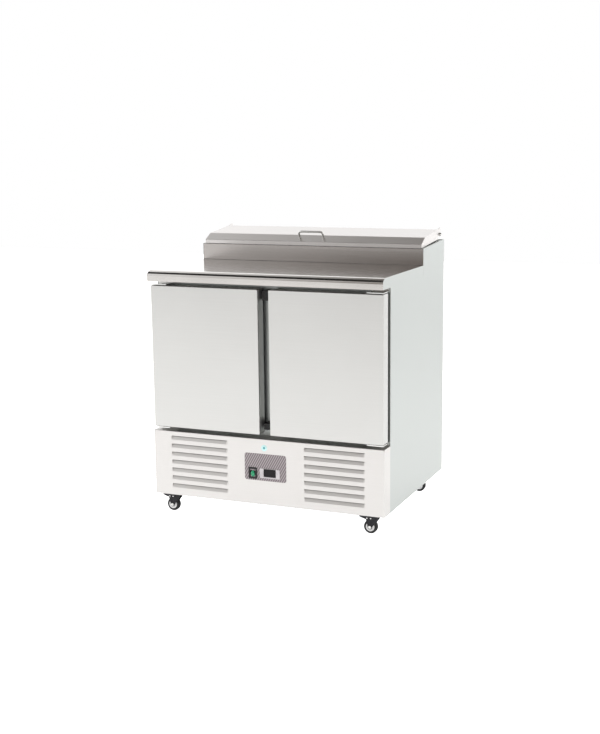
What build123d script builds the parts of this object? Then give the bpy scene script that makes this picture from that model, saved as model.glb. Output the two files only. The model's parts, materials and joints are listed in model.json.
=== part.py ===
from build123d import *
from math import atan2, cos, degrees, radians, sin
import os

# Two-door refrigerated sandwich prep table on casters: a cabinet with two hinged doors, a worktop,
# and a raised well of food pans under a hinged lid, with the cooling unit behind the louvred panel.
# +X is to the right of someone at the doors, +Y is to the back, +Z is up, Z = 0 is the floor.
# The origin is on the floor, under the middle of the outline.

# ---------------------------------------------------------------- driving dimensions
width = 900.0             # cabinet, outside
depth = 700.0             # door fronts to the back
nose = 18.0               # worktop in front of the doors
wheel_r = 25.0
caster_clear = 31.0       # wheel's top to the cabinet's underside
plinth_h = 242.0          # louvred lower panel
plinth_gap = 15.0         # lower panel to doors
door_h = 522.0
door_top_gap = 17.0       # doors to worktop
worktop_t = 38.0
riser_h = 61.0            # worktop to the front of the pan well
side_climb = 15.0         # rise of the side's top edge from the riser to the back

sheet = 1.2               # stainless steel sheet
fit_gap = 0.4             # between neighbouring folded panels
wall = 50.0               # insulated side and back walls
floor_t = 46.0            # insulated cabinet floor
roof_t = 34.0             # insulation under the worktop
liner_t = 1.0

door_t = 46.0
door_inset = 4.0          # door's outer edge to the cabinet's side
door_gap = 41.0           # between the two doors
gasket_t = 15.2
gasket_gap = 0.8          # closed gasket to the face frame
gasket_w = 16.0
gasket_inset = 16.0
door_pivot_x = 14.0       # from the door's outer edge
door_pivot_y = 22.0       # from the door's front
hinge_pin_r = 4.0
running = 0.05            # radial clearance of a turning fit

lid_w = 882.0
lid_front = 4.0           # riser to the lid's front lip
lid_lip_h = 14.0
lid_fold = 42.0           # depth of the lid's slanted front
lid_slant_h = 22.0
lid_cover = 36.0          # lid's depth beyond the pans
lid_top_rise = 18.0
lid_gap = 4.0             # lid's sides to the side panels
handle_w = 105.0
handle_stand = 30.0
handle_r = 4.0
lid_axis_back = 18.0      # lid's back edge to its hinge axis
lid_back_gap = 50.0       # lid's back edge to the cabinet's back
lid_axis_drop = 20.0      # hinge axis under the lid's top
lid_bolt_r = 4.0

pan_pitch = 162.0
pan_l = 176.0
pan_depth = 150.0
pan_rim = 10.0
pan_wall = 0.8
pan_taper = 6.0
well_sink = 14.0          # pan rim under the riser's top
well_front = 32.0         # riser to the well opening

louvre_rows = 7
louvre_h = 15.0
louvre_side = 71.5        # louvres to the panel's end
louvre_inner = 68.5       # louvres to the control plate
louvre_drop = 17.0        # first louvre under the panel's top edge
louvre_foot = 28.8        # last louvre over the panel's lower edge
louvre_depth = 8.0

plate_w = 162.0           # control plate
plate_h = 99.0
plate_drop = 54.0         # its top edge under the panel's top edge
switch_w = 33.0
switch_h = 42.0
switch_x = -49.0
switch_up = 26.0          # its middle over the plate's lower edge
thermostat_w = 78.0
thermostat_h = 35.0
thermostat_x = 18.0
thermostat_up = 28.0

wheel_w = 20.0
caster_in_x = 56.0        # swivel axis from the cabinet's side
caster_in_front = 65.0
caster_in_back = 65.0
trail = 16.0
axle_r = 4.0

# ---------------------------------------------------------------- derived places
half = width / 2
caster_h = 2 * wheel_r + caster_clear
lid_d = pan_l + lid_cover
well_depth = lid_front + lid_d + lid_back_gap
worktop_reach = depth - well_depth       # door fronts to the riser
face_setback = door_t + gasket_t + gasket_gap
front = -(depth + nose) / 2 + nose
back = front + depth
face = front + face_setback
panel_top = caster_h + plinth_h
plate_z = panel_top - plate_drop - plate_h
switch_z = plate_z + switch_up
thermostat_z = plate_z + thermostat_up
louvre_w = half - louvre_side - louvre_inner - plate_w / 2
louvre_x = half - louvre_side - louvre_w / 2
louvre_pitch = (plinth_h - louvre_drop - louvre_foot - louvre_h) / (louvre_rows - 1)
door_low = panel_top + plinth_gap
door_top = door_low + door_h
under = door_top + door_top_gap
top = under + worktop_t
riser_top = top + riser_h
riser = front + worktop_reach
climb = side_climb / (back - riser)      # slope of the side's top edge

inside = half - wall                     # half the cabinet's inner width
inside_back = back - wall
cabinet_floor = panel_top + floor_t
cabinet_roof = under - roof_t
well_z = riser_top - well_sink           # top of the pan frame
well_y0 = riser + well_front
well_l = pan_l - 2 * pan_rim + 6
pan_count = int((2 * inside + 2 * pan_rim - 4) / pan_pitch)
well_w = pan_count * pan_pitch - 2 * pan_rim + 6
well_y = well_y0 + well_l / 2

mullion_half = door_gap / 2 + 24
door_w = half - door_inset - door_gap / 2
pivot_x = half - door_inset - door_pivot_x
pivot_y = front + door_pivot_y

lid_y0 = riser + lid_front
lid_y1 = lid_y0 + lid_d
lid_low = riser_top + 1.0
lid_top = lid_low + lid_lip_h + lid_slant_h + lid_top_rise
lid_axis_y = lid_y1 + lid_axis_back
lid_axis_z = lid_top - lid_axis_drop

os.makedirs("parts", exist_ok=True)


def save(piece, name):
    piece.label = name
    export_step(piece, f"parts/{name}.step")


def side_top(y):
    """Height of the side panels' sloping top edge at y."""
    return riser_top + climb * (y - riser)


def block(x0, x1, y0, y1, z0, z1, mode=Mode.ADD):
    """A box between two corners, in the part being built."""
    with Locations(((x0 + x1) / 2, (y0 + y1) / 2, (z0 + z1) / 2)):
        Box(x1 - x0, y1 - y0, z1 - z0, mode=mode)


def rod(radius, start, end, mode=Mode.ADD):
    """A round bar from start to end, in the part being built."""
    path = Vector(*end) - Vector(*start)
    with BuildSketch(Plane(origin=start, z_dir=path)) as section:
        Circle(radius)
    extrude(section.sketch, amount=path.length, mode=mode)


def tube_run(radius, points, bend):
    """A bent round tube through the points, in the part being built."""
    with BuildLine() as run:
        FilletPolyline(*points, radius=bend)
    with BuildSketch(Plane(origin=run.line @ 0, z_dir=run.line % 0)) as section:
        Circle(radius)
    sweep(section.sketch, path=run.line)


strip_front = lid_y1 - 6                 # back strip's front edge, under the lid's back
strip_z = side_top(strip_front) - sheet - fit_gap

# ---------------------------------------------------------------- cabinet shell
# Each side panel is one stepped sheet with its edges folded in.
side_fold = 22.0
for name, sign in (("side_panel_left", -1), ("side_panel_right", 1)):
    with BuildPart() as side_panel:
        with BuildSketch(Plane.YZ.offset(sign * half)):
            with BuildLine():
                Polyline(
                    (face, caster_h),
                    (back, caster_h),
                    (back, side_top(back)),
                    (riser, riser_top),
                    (riser, under),
                    (face, under),
                    close=True,
                )
            make_face()
        extrude(amount=-sign * sheet)
        fold_mid = sign * (half - side_fold / 2)
        with Locations((fold_mid, (face + riser) / 2, under - sheet / 2)):
            Box(side_fold, riser - face, sheet)
        slope_y = (riser + sheet + fit_gap + strip_front) / 2
        slope_l = (strip_front - riser - sheet - fit_gap) / cos(atan2(climb, 1))
        slope_place = (fold_mid, slope_y, side_top(slope_y) - sheet / 2)
        with Locations(Location(slope_place, (degrees(atan2(climb, 1)), 0, 0))):
            Box(side_fold, slope_l - 2 * fit_gap, sheet)
    save(side_panel.part, name)

# The back panel folds forward over the top, behind the lid, and carries the lid's hinges.
vent_rows = 8
vent_pitch = 18.0
vent_slot = 6.0
inlet_x = half - 120      # middle of the lead's socket
inlet_z = caster_h + 70
inlet_w = 48.0
inlet_h = 28.0
back_half = half - sheet - fit_gap
with BuildPart() as back_panel:
    block(-back_half, back_half, back - sheet, back, caster_h + 2 * sheet, side_top(back) - sheet - fit_gap)
    block(-back_half, back_half, strip_front, back, strip_z - sheet, strip_z)
    block(-back_half, back_half, strip_front, strip_front + sheet, well_z, strip_z)
    with Locations((0, back, caster_h + plinth_h / 2)):
        with GridLocations(width / 3, 1, 2, 1):
            with Locations(*[(0, 0, (row - (vent_rows - 1) / 2) * vent_pitch) for row in range(vent_rows)]):
                Box(width / 4, 4 * sheet, vent_slot, mode=Mode.SUBTRACT)
    block(inlet_x - inlet_w / 2, inlet_x + inlet_w / 2, back - 2 * sheet, back + sheet,
          inlet_z - inlet_h / 2, inlet_z + inlet_h / 2, mode=Mode.SUBTRACT)
save(back_panel.part, "back_panel")

# A recessed socket for the mains lead, held in the back panel.
inlet_fit = 0.2
inlet_depth = 26.0
mouth_w = 25.0
mouth_h = 17.0
mouth_depth = 17.0
contact_l = 12.0
contact_pitch = 7.0
with BuildPart() as power_inlet:
    block(inlet_x - inlet_w / 2 + inlet_fit, inlet_x + inlet_w / 2 - inlet_fit, back - inlet_depth, back,
          inlet_z - inlet_h / 2 + inlet_fit, inlet_z + inlet_h / 2 - inlet_fit)
    block(inlet_x - mouth_w / 2, inlet_x + mouth_w / 2, back - mouth_depth, back,
          inlet_z - mouth_h / 2, inlet_z + mouth_h / 2, mode=Mode.SUBTRACT)
    contact_y = back - mouth_depth + contact_l / 2 - 2
    with Locations(*[(inlet_x + side * contact_pitch, contact_y, inlet_z) for side in (-1, 0, 1)]):
        Box(2, contact_l, 4)
save(power_inlet.part, "power_inlet")

# The base tray carries the cooling unit and the casters.
tray_t = 2.0
tray_wall = 24.0
tray_half = half - sheet - fit_gap
tray_front = front + sheet + fit_gap
tray_back = back - sheet - fit_gap
with BuildPart() as base_tray:
    block(-tray_half, tray_half, tray_front, tray_back, caster_h, caster_h + tray_wall)
    block(-tray_half + tray_t, tray_half - tray_t, tray_front + tray_t, tray_back - tray_t,
          caster_h + tray_t, caster_h + tray_wall + 1, mode=Mode.SUBTRACT)
save(base_tray.part, "base_tray")

# The face frame stands around the door openings, with the mullion as a channel behind its middle.
face_half = half - sheet - fit_gap
mullion_depth = 40.0
with BuildPart() as face_frame:
    block(-face_half, face_half, face, face + sheet, panel_top, under - sheet - fit_gap)
    for sign in (-1, 1):
        near = sign * mullion_half
        far = sign * inside
        block(min(near, far), max(near, far), face - 1, face + 2 * sheet, cabinet_floor, cabinet_roof,
              mode=Mode.SUBTRACT)
        block(near - sheet / 2, near + sheet / 2, face + sheet / 2, face + mullion_depth,
              cabinet_floor, cabinet_roof)
    block(-mullion_half, mullion_half, face + mullion_depth - sheet, face + mullion_depth,
          cabinet_floor, cabinet_roof)
save(face_frame.part, "face_frame")

# Two black blocks stand on the mullion, between the doors' ends.
block_w = 25.0
block_out = 42.0
high_block = (door_top - 41, door_top - 6)
low_block = (door_low + 16, door_low + 39)
with BuildPart() as mullion_blocks:
    for z0, z1 in (high_block, low_block):
        block(-block_w / 2, block_w / 2, face - block_out, face, z0, z1)
save(mullion_blocks.part, "mullion_blocks")

# The liner is the inner box: open to the doors, and open above through the pan well.
liner_front = face + sheet
riser_foam = 14.0
well_in = riser + sheet + riser_foam
with BuildPart() as inner_liner:
    block(-inside - liner_t, inside + liner_t, liner_front, inside_back + liner_t,
          cabinet_floor - liner_t, cabinet_roof + liner_t)
    block(-inside - liner_t, inside + liner_t, well_in - liner_t, inside_back + liner_t,
          cabinet_floor, well_z - sheet)
    block(-inside, inside, liner_front - 1, inside_back, cabinet_floor, cabinet_roof, mode=Mode.SUBTRACT)
    block(-inside, inside, well_in, inside_back, cabinet_floor, well_z, mode=Mode.SUBTRACT)
save(inner_liner.part, "inner_liner")

# Foam fills the space between the liner and the outer sheets.
with BuildPart() as foam_insulation:
    foam_half = half - sheet
    foam_back = back - sheet
    foam_low = panel_top + 1
    block(-foam_half, foam_half, liner_front, foam_back, foam_low, under - sheet)
    block(-foam_half, foam_half, riser + sheet, foam_back, foam_low, well_z - sheet)
    block(-inside - liner_t, inside + liner_t, liner_front - 1, inside_back + liner_t,
          cabinet_floor - liner_t, cabinet_roof + liner_t, mode=Mode.SUBTRACT)
    block(-inside - liner_t, inside + liner_t, well_in - liner_t, inside_back + liner_t,
          cabinet_floor, well_z + 1, mode=Mode.SUBTRACT)
save(foam_insulation.part, "foam_insulation")

# ---------------------------------------------------------------- worktop and pan well
# The worktop is a folded tray: a bullnose front edge, side flanges and a flat top.
edge_y = front - nose
bull = 29.0               # depth of the bullnose
nose_wall = 3.0
flat_start = front + 6    # where the flat top thins to one sheet
with BuildPart() as worktop:
    with BuildSketch(Plane.YZ.offset(-half)):
        with BuildLine():
            low_front = (edge_y, under)
            nose_start = (edge_y, under + worktop_t * 0.5)
            nose_end = (edge_y + bull, top)
            Line(low_front, nose_start)
            Spline(nose_start, nose_end, tangents=((0, 1), (1, 0)))
            Line(nose_end, (riser, top))
            Line((riser, top), (riser, under))
            Line((riser, under), low_front)
        make_face()
    extrude(amount=width)
    block(-half + sheet, half - sheet, edge_y + nose_wall, riser + 1, under - 1, under + worktop_t * 0.5,
          mode=Mode.SUBTRACT)
    block(-half + sheet, half - sheet, flat_start, riser + 1, under - 1, top - sheet, mode=Mode.SUBTRACT)
save(worktop.part, "worktop")

# The riser is the well's front wall, folded back over the top and down to the pan frame.
riser_shelf = 22.0
riser_tuck = 12.0         # riser's lower edge under the worktop
shelf_half = half - side_fold - fit_gap
with BuildPart() as riser_panel:
    block(-back_half, back_half, riser, riser + sheet, top - riser_tuck, riser_top)
    block(-shelf_half, shelf_half, riser, riser + riser_shelf, riser_top - sheet, riser_top)
    block(-shelf_half, shelf_half, riser + riser_shelf - sheet, riser + riser_shelf, well_z, riser_top)
save(riser_panel.part, "riser_panel")

# The pan frame closes the well's top around one long opening.
with BuildPart() as pan_frame:
    block(-back_half, back_half, riser + sheet + fit_gap, strip_front + sheet, well_z - sheet, well_z)
    block(-well_w / 2, well_w / 2, well_y0, well_y0 + well_l, well_z - 2 * sheet, well_z + 1,
          mode=Mode.SUBTRACT)
save(pan_frame.part, "pan_frame")

pan_places = [(spot - (pan_count - 1) / 2) * pan_pitch for spot in range(pan_count)]
bar_places = [(spot - pan_count / 2) * pan_pitch for spot in range(1, pan_count)]

# Loose bars part the opening between neighbouring pans.
bar_half = 7.0
bar_h = 8.0
bar_end_gap = 0.5
with BuildPart() as pan_dividers:
    for x in bar_places:
        block(x - bar_half, x + bar_half, well_y0 + bar_end_gap, well_y0 + well_l - bar_end_gap,
              well_z - bar_h, well_z)
        block(x - bar_half + sheet, x + bar_half - sheet, well_y0 - 1, well_y0 + well_l + 1,
              well_z - bar_h - 1, well_z - sheet, mode=Mode.SUBTRACT)
save(pan_dividers.part, "pan_dividers")

# Sixth-size food pans hang by their rims.
pan_body_w = pan_pitch - 2 * pan_rim
pan_body_l = pan_l - 2 * pan_rim
pan_foot_w = pan_body_w - 2 * pan_taper
pan_foot_l = pan_body_l - 2 * pan_taper
pan_corner = 16.0
pan_foot_corner = 12.0
pan_gap = 0.6             # between neighbouring rims
with BuildPart() as pans:
    for x in pan_places:
        with BuildSketch(Plane(origin=(x, well_y, well_z + pan_wall))):
            RectangleRounded(pan_body_w, pan_body_l, pan_corner)
        with BuildSketch(Plane(origin=(x, well_y, well_z - pan_depth))):
            RectangleRounded(pan_foot_w, pan_foot_l, pan_foot_corner)
        loft()
        with BuildSketch(Plane(origin=(x, well_y, well_z))):
            RectangleRounded(pan_pitch - pan_gap, pan_l, pan_corner + 2)
        extrude(amount=pan_wall)
        with BuildSketch(Plane(origin=(x, well_y, well_z + pan_wall))):
            RectangleRounded(pan_body_w - 2 * pan_wall, pan_body_l - 2 * pan_wall, pan_corner - pan_wall)
        with BuildSketch(Plane(origin=(x, well_y, well_z - pan_depth + pan_wall))):
            RectangleRounded(pan_foot_w - 2 * pan_wall, pan_foot_l - 2 * pan_wall, pan_foot_corner - pan_wall)
        loft(mode=Mode.SUBTRACT)
save(pans.part, "pans")

# ---------------------------------------------------------------- lower panel and its controls
first_louvre = panel_top - louvre_drop
panel_fold = 16.0
bezel_lap = 3.0           # switch and thermostat bezels over their cut-outs
with BuildPart() as grille_panel:
    block(-half, half, front, front + sheet, caster_h, panel_top)
    for sign in (-1, 1):
        edge = sign * (half - sheet / 2)
        block(edge - sheet / 2, edge + sheet / 2, front, face - fit_gap, caster_h, panel_top)
    block(-half, half, front, front + panel_fold, panel_top - sheet, panel_top)
    for bank in (-louvre_x, louvre_x):
        for row in range(louvre_rows):
            z1 = first_louvre - row * louvre_pitch
            z0 = z1 - louvre_h
            block(bank - louvre_w / 2, bank + louvre_w / 2, front - 1, front + 2 * sheet, z0, z1,
                  mode=Mode.SUBTRACT)
            with BuildSketch(Plane.YZ.offset(bank - louvre_w / 2)):
                Polygon(
                    (front, z0),
                    (front + sheet, z0),
                    (front + sheet + louvre_depth, z1),
                    (front + louvre_depth, z1),
                    align=None,
                )
            extrude(amount=louvre_w)
            for end in (-1, 1):
                x = bank + end * (louvre_w / 2 - sheet / 2)
                with BuildSketch(Plane.YZ.offset(x - sheet / 2)):
                    Polygon((front, z0), (front + louvre_depth + sheet, z1), (front, z1), align=None)
                extrude(amount=sheet)
    for x, z, w, h in (
        (switch_x, switch_z, switch_w, switch_h),
        (thermostat_x, thermostat_z, thermostat_w, thermostat_h),
    ):
        block(x - w / 2 + bezel_lap, x + w / 2 - bezel_lap, front - 1, front + 2 * sheet,
              z - h / 2 + bezel_lap, z + h / 2 - bezel_lap, mode=Mode.SUBTRACT)
save(grille_panel.part, "grille_panel")

# A thin patterned plate frames the switch and the thermostat.
control_t = 1.0
with BuildPart() as control_plate:
    with BuildSketch(Plane.XZ.offset(-front)):
        with Locations((0, plate_z + plate_h / 2)):
            RectangleRounded(plate_w, plate_h, 8)
        with Locations((switch_x, switch_z)):
            Rectangle(switch_w - 2 * bezel_lap, switch_h - 2 * bezel_lap, mode=Mode.SUBTRACT)
        with Locations((thermostat_x, thermostat_z)):
            Rectangle(thermostat_w - 2 * bezel_lap, thermostat_h - 2 * bezel_lap, mode=Mode.SUBTRACT)
    extrude(amount=control_t)
save(control_plate.part, "control_plate")

plate_face = front - control_t
bezel_t = 2.5
body_in = bezel_lap + 0.3 # bezel's edge to the body behind the panel
rocker_w = 19.0
rocker_h = 27.0
rocker_gap = 0.4
rocker_swing = 0.8        # room over and under the rocker
switch_depth = 30.0
switch_well = 14.0
key_r = 4.0
key_travel = 0.8
key_z = thermostat_z
key_x = 31.0              # each key from the thermostat's middle
with BuildPart() as switch_housing:
    with BuildSketch(Plane.XZ.offset(-plate_face)):
        with Locations((switch_x, switch_z)):
            RectangleRounded(switch_w, switch_h, 4)
    extrude(amount=bezel_t)
    block(switch_x - switch_w / 2 + body_in, switch_x + switch_w / 2 - body_in,
          plate_face, front + switch_depth,
          switch_z - switch_h / 2 + body_in, switch_z + switch_h / 2 - body_in)
    block(switch_x - rocker_w / 2 - rocker_gap, switch_x + rocker_w / 2 + rocker_gap,
          plate_face - bezel_t - 1, front + switch_well,
          switch_z - rocker_h / 2 - rocker_swing, switch_z + rocker_h / 2 + rocker_swing, mode=Mode.SUBTRACT)
save(switch_housing.part, "switch_housing")

# The rocker pivots about a level axis inside its housing.
rocker_axis_y = plate_face + 3.5
rocker_bulge = 9.5
rocker_tilt = radians(7)


def tilted(y, z):
    """A point of the rocker's section, leaning to its off side."""
    return (
        rocker_axis_y + y * cos(rocker_tilt) - z * sin(rocker_tilt),
        switch_z + y * sin(rocker_tilt) + z * cos(rocker_tilt),
    )


with BuildPart() as switch_rocker:
    with BuildSketch(Plane.YZ.offset(switch_x - rocker_w / 2)):
        with BuildLine():
            rocker_low = tilted(0, -rocker_h / 2 + 1)
            rocker_high = tilted(0, rocker_h / 2 - 1)
            ThreePointArc(rocker_low, tilted(-rocker_bulge, 0), rocker_high)
            ThreePointArc(rocker_high, tilted(5, 0), rocker_low)
        make_face()
    extrude(amount=rocker_w)
save(switch_rocker.part, "switch_rocker")

thermostat_depth = 58.0
window_w = 48.0
window_h = 27.0
key_gap = 0.35
with BuildPart() as thermostat:
    with BuildSketch(Plane.XZ.offset(-plate_face)):
        with Locations((thermostat_x, thermostat_z)):
            RectangleRounded(thermostat_w, thermostat_h, 3)
    extrude(amount=bezel_t)
    block(thermostat_x - thermostat_w / 2 + body_in, thermostat_x + thermostat_w / 2 - body_in,
          plate_face, front + thermostat_depth,
          thermostat_z - thermostat_h / 2 + body_in, thermostat_z + thermostat_h / 2 - body_in)
    block(thermostat_x - window_w / 2, thermostat_x + window_w / 2,
          plate_face - bezel_t - 1, plate_face - bezel_t + 1,
          thermostat_z - window_h / 2, thermostat_z + window_h / 2, mode=Mode.SUBTRACT)
    for side in (-1, 1):
        rod(key_r + key_gap, (thermostat_x + side * key_x, plate_face - bezel_t - 1, key_z),
            (thermostat_x + side * key_x, plate_face + 3, key_z), mode=Mode.SUBTRACT)
save(thermostat.part, "thermostat")

for name, side in (("thermostat_key_left", -1), ("thermostat_key_right", 1)):
    with BuildPart() as thermostat_key:
        x = thermostat_x + side * key_x
        rod(key_r, (x, plate_face - bezel_t - key_travel, key_z), (x, plate_face + 1.5, key_z))
    save(thermostat_key.part, name)

# ---------------------------------------------------------------- doors
pocket_r = hinge_pin_r + 2
pocket_depth = 16.0
for side_name, sign in (("left", -1), ("right", 1)):
    x_out = sign * (half - door_inset)
    x_in = sign * door_gap / 2
    x0 = min(x_out, x_in)
    x1 = max(x_out, x_in)
    pin = (sign * pivot_x, pivot_y)

    # The outer skin is a folded pan with a hole for each hinge pin.
    with BuildPart() as door_skin:
        block(x0, x1, front, front + door_t - sheet, door_low, door_top)
        block(x0 + sheet, x1 - sheet, front + sheet, front + door_t, door_low + sheet, door_top - sheet,
              mode=Mode.SUBTRACT)
        rod(hinge_pin_r + running, (*pin, door_low - 1), (*pin, door_top + 1), mode=Mode.SUBTRACT)
    save(door_skin.part, f"door_{side_name}_skin")

    with BuildPart() as door_core:
        block(x0 + sheet, x1 - sheet, front + sheet, front + door_t - sheet, door_low + sheet, door_top - sheet)
        rod(pocket_r, (*pin, door_low), (*pin, door_low + pocket_depth), mode=Mode.SUBTRACT)
        rod(pocket_r, (*pin, door_top - pocket_depth), (*pin, door_top), mode=Mode.SUBTRACT)
    save(door_core.part, f"door_{side_name}_core")

    # The liner closes the pan from behind.
    with BuildPart() as door_liner:
        block(x0, x1, front + door_t - sheet, front + door_t, door_low, door_top)
    save(door_liner.part, f"door_{side_name}_liner")

    # The magnetic gasket runs around the door's back.
    with BuildPart() as door_gasket:
        block(x0 + gasket_inset, x1 - gasket_inset, front + door_t, front + door_t + gasket_t,
              door_low + gasket_inset, door_top - gasket_inset)
        rim = gasket_inset + gasket_w
        block(x0 + rim, x1 - rim, front + door_t - 1, front + door_t + gasket_t + 1,
              door_low + rim, door_top - rim, mode=Mode.SUBTRACT)
    save(door_gasket.part, f"door_{side_name}_gasket")

# Each door turns on two pins that stand on angle plates screwed to the face frame.
hinge_t = 3.0
hinge_l = 60.0
hinge_inset = 6.0         # plate's end from the cabinet's side
hinge_clear = 2.0         # plate to the door's end
pin_reach = 13.0
with BuildPart() as door_hinges:
    for sign in (-1, 1):
        x0 = min(sign * (half - hinge_inset), sign * (half - hinge_inset - hinge_l))
        x1 = x0 + hinge_l
        for edge, up in ((door_top, 1), (door_low, -1)):
            near = edge + up * hinge_clear
            far = edge + up * (hinge_clear + hinge_t)
            wing = edge + up * (plinth_gap - 1)
            block(x0, x1, front + 4, face, min(near, far), max(near, far))
            block(x0, x1, face - hinge_t, face, min(near, wing), max(near, wing))
            pin = (sign * pivot_x, pivot_y)
            rod(hinge_pin_r, (*pin, edge - up * pin_reach), (*pin, far))
save(door_hinges.part, "door_hinges")

# ---------------------------------------------------------------- shelves
shelf_z = cabinet_floor + 0.48 * (cabinet_roof - cabinet_floor)
rail_w = 12.0
rail_t = 5.0
clip_l = 14.0
clip_h = 4.0
clip_z = shelf_z - 2 * clip_h
rail_front = 90.0         # front rails behind the face frame
rail_back = 60.0
with BuildPart() as shelf_rails:
    for y in (face + rail_front, inside_back - rail_back):
        for sign in (-1, 1):
            x = sign * (inside - rail_t / 2)
            block(x - rail_t / 2, x + rail_t / 2, y - rail_w / 2, y + rail_w / 2,
                  cabinet_floor + 20, cabinet_roof - 40)
            clip = sign * (inside - clip_l / 2)
            block(clip - clip_l / 2, clip + clip_l / 2, y - rail_w / 2, y + rail_w / 2, clip_z, clip_z + clip_h)
        block(-rail_t, rail_t, y - rail_w / 2, y + rail_w / 2, cabinet_floor, clip_z + clip_h)
        block(-clip_l - 4, clip_l + 4, y - rail_w / 2, y + rail_w / 2, clip_z, clip_z + clip_h)
save(shelf_rails.part, "shelf_rails")

shelf_r = 3.0
wire_r = 1.8
wire_count = 13
wire_over = 6.0           # wires beyond the end rods
for side_name, sign in (("left", -1), ("right", 1)):
    with BuildPart() as shelf:
        a = sign * (inside - 8)
        b = sign * 9
        x0 = min(a, b)
        x1 = max(a, b)
        y0 = face + 55
        y1 = inside_back - 20
        rail_z = clip_z + clip_h + shelf_r
        for y in (y0, (y0 + y1) / 2, y1):
            rod(shelf_r, (x0, y, rail_z), (x1, y, rail_z))
        for spot in range(wire_count):
            x = x0 + 4 + spot * (x1 - x0 - 8) / (wire_count - 1)
            rod(wire_r, (x, y0 - wire_over, rail_z + shelf_r), (x, y1 + wire_over, rail_z + shelf_r))
    save(shelf.part, f"shelf_{side_name}")

# ---------------------------------------------------------------- lid
slope_top = lid_top_rise / (lid_d - lid_fold)
lid_lip_top = lid_low + lid_lip_h
lid_fold_z = lid_lip_top + lid_slant_h
lid_fold_y = lid_y0 + lid_fold


def lid_outline(inset, low_front, low_back):
    """The lid's section: front lip, slanted face, rising top and back edge, inset from the skin."""
    return [
        (lid_y0 + inset, low_front),
        (lid_y0 + inset, lid_lip_top - inset * 0.3),
        (lid_fold_y + inset * 0.3, lid_fold_z - inset),
        (lid_y1 - inset, lid_top - inset),
        (lid_y1 - inset, low_back),
    ]


lid_back_low = side_top(lid_y1) + lid_gap
tab_t = 3.0
tab_x = lid_w / 2 - tab_t
tab_front = lid_y1 - 16
tab_high = lid_top + 5
core_half = lid_w / 2 - tab_t - 1
with BuildPart() as lid_skin:
    with BuildSketch(Plane.YZ.offset(-lid_w / 2)):
        Polygon(*lid_outline(0, lid_low, lid_back_low), align=None)
    extrude(amount=lid_w)
    with BuildSketch(Plane.YZ.offset(-lid_w / 2 + sheet)):
        Polygon(*lid_outline(sheet, lid_low - 1, lid_back_low - 1), align=None)
    extrude(amount=lid_w - 2 * sheet, mode=Mode.SUBTRACT)
    for sign in (-1, 1):
        tab_low = lid_axis_z - 9
        with BuildSketch(Plane.YZ.offset(sign * tab_x)):
            Polygon(
                (tab_front, tab_low),
                (lid_axis_y + 8, tab_low),
                (lid_axis_y + 15, tab_high),
                (lid_axis_y + 4, tab_high),
                (tab_front, lid_top - 4),
                align=None,
            )
        extrude(amount=sign * tab_t)
        rod(lid_bolt_r + running, (sign * (tab_x - 5), lid_axis_y, lid_axis_z),
            (sign * (tab_x + 10), lid_axis_y, lid_axis_z), mode=Mode.SUBTRACT)
save(lid_skin.part, "lid_skin")

lid_floor_front = riser_top + 5
with BuildPart() as lid_core:
    with BuildSketch(Plane.YZ.offset(-core_half)):
        Polygon(*lid_outline(sheet, lid_floor_front, lid_back_low + 1), align=None)
    extrude(amount=2 * core_half)
save(lid_core.part, "lid_core")

with BuildPart() as lid_liner:
    with BuildSketch(Plane.YZ.offset(-core_half)):
        Polygon(
            (lid_y0 + sheet, lid_floor_front - sheet),
            (lid_y0 + sheet, lid_floor_front),
            (lid_y1 - sheet, lid_back_low + 1),
            (lid_y1 - sheet, lid_back_low + 1 - sheet),
            align=None,
        )
    extrude(amount=2 * core_half)
save(lid_liner.part, "lid_liner")

# A soft seal fills the wedge between the lid's sides and the side panels.
seal_t = 10.0
seal_gap = 0.5
seal_y0 = lid_y0 + 10
seal_y1 = strip_front - 2


def lid_under(y):
    """Height of the lid liner's lower face at y."""
    share = (y - lid_y0 - sheet) / (lid_d - 2 * sheet)
    return lid_floor_front - sheet + share * (lid_back_low + 1 - lid_floor_front)


with BuildPart() as lid_gasket:
    for sign in (-1, 1):
        seal_mid = sign * (lid_w / 2 - seal_t)
        with BuildSketch(Plane.YZ.offset(seal_mid - seal_t / 2)):
            Polygon(
                (seal_y0, side_top(seal_y0) + seal_gap),
                (seal_y1, side_top(seal_y1) + seal_gap),
                (seal_y1, lid_under(seal_y1)),
                (seal_y0, lid_under(seal_y0)),
                align=None,
            )
        extrude(amount=seal_t)
save(lid_gasket.part, "lid_gasket")

# The handle is a bent rod standing square on the lid's slanted face.
slant = atan2(lid_slant_h, lid_fold)
foot_y = lid_y0 + lid_fold / 2
foot_z = lid_lip_top + lid_slant_h / 2
out_y = -sin(slant) * handle_stand
out_z = cos(slant) * handle_stand
reach_x = handle_w / 2 - handle_r
with BuildPart() as lid_handle:
    tube_run(
        handle_r,
        [
            (-reach_x, foot_y, foot_z),
            (-reach_x, foot_y + out_y, foot_z + out_z),
            (reach_x, foot_y + out_y, foot_z + out_z),
            (reach_x, foot_y, foot_z),
        ],
        3 * handle_r,
    )
    with BuildSketch(Plane.YZ.offset(-handle_w)):
        Polygon(*lid_outline(0, lid_low, lid_back_low), align=None)
    extrude(amount=2 * handle_w, mode=Mode.SUBTRACT)
save(lid_handle.part, "lid_handle")

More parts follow.
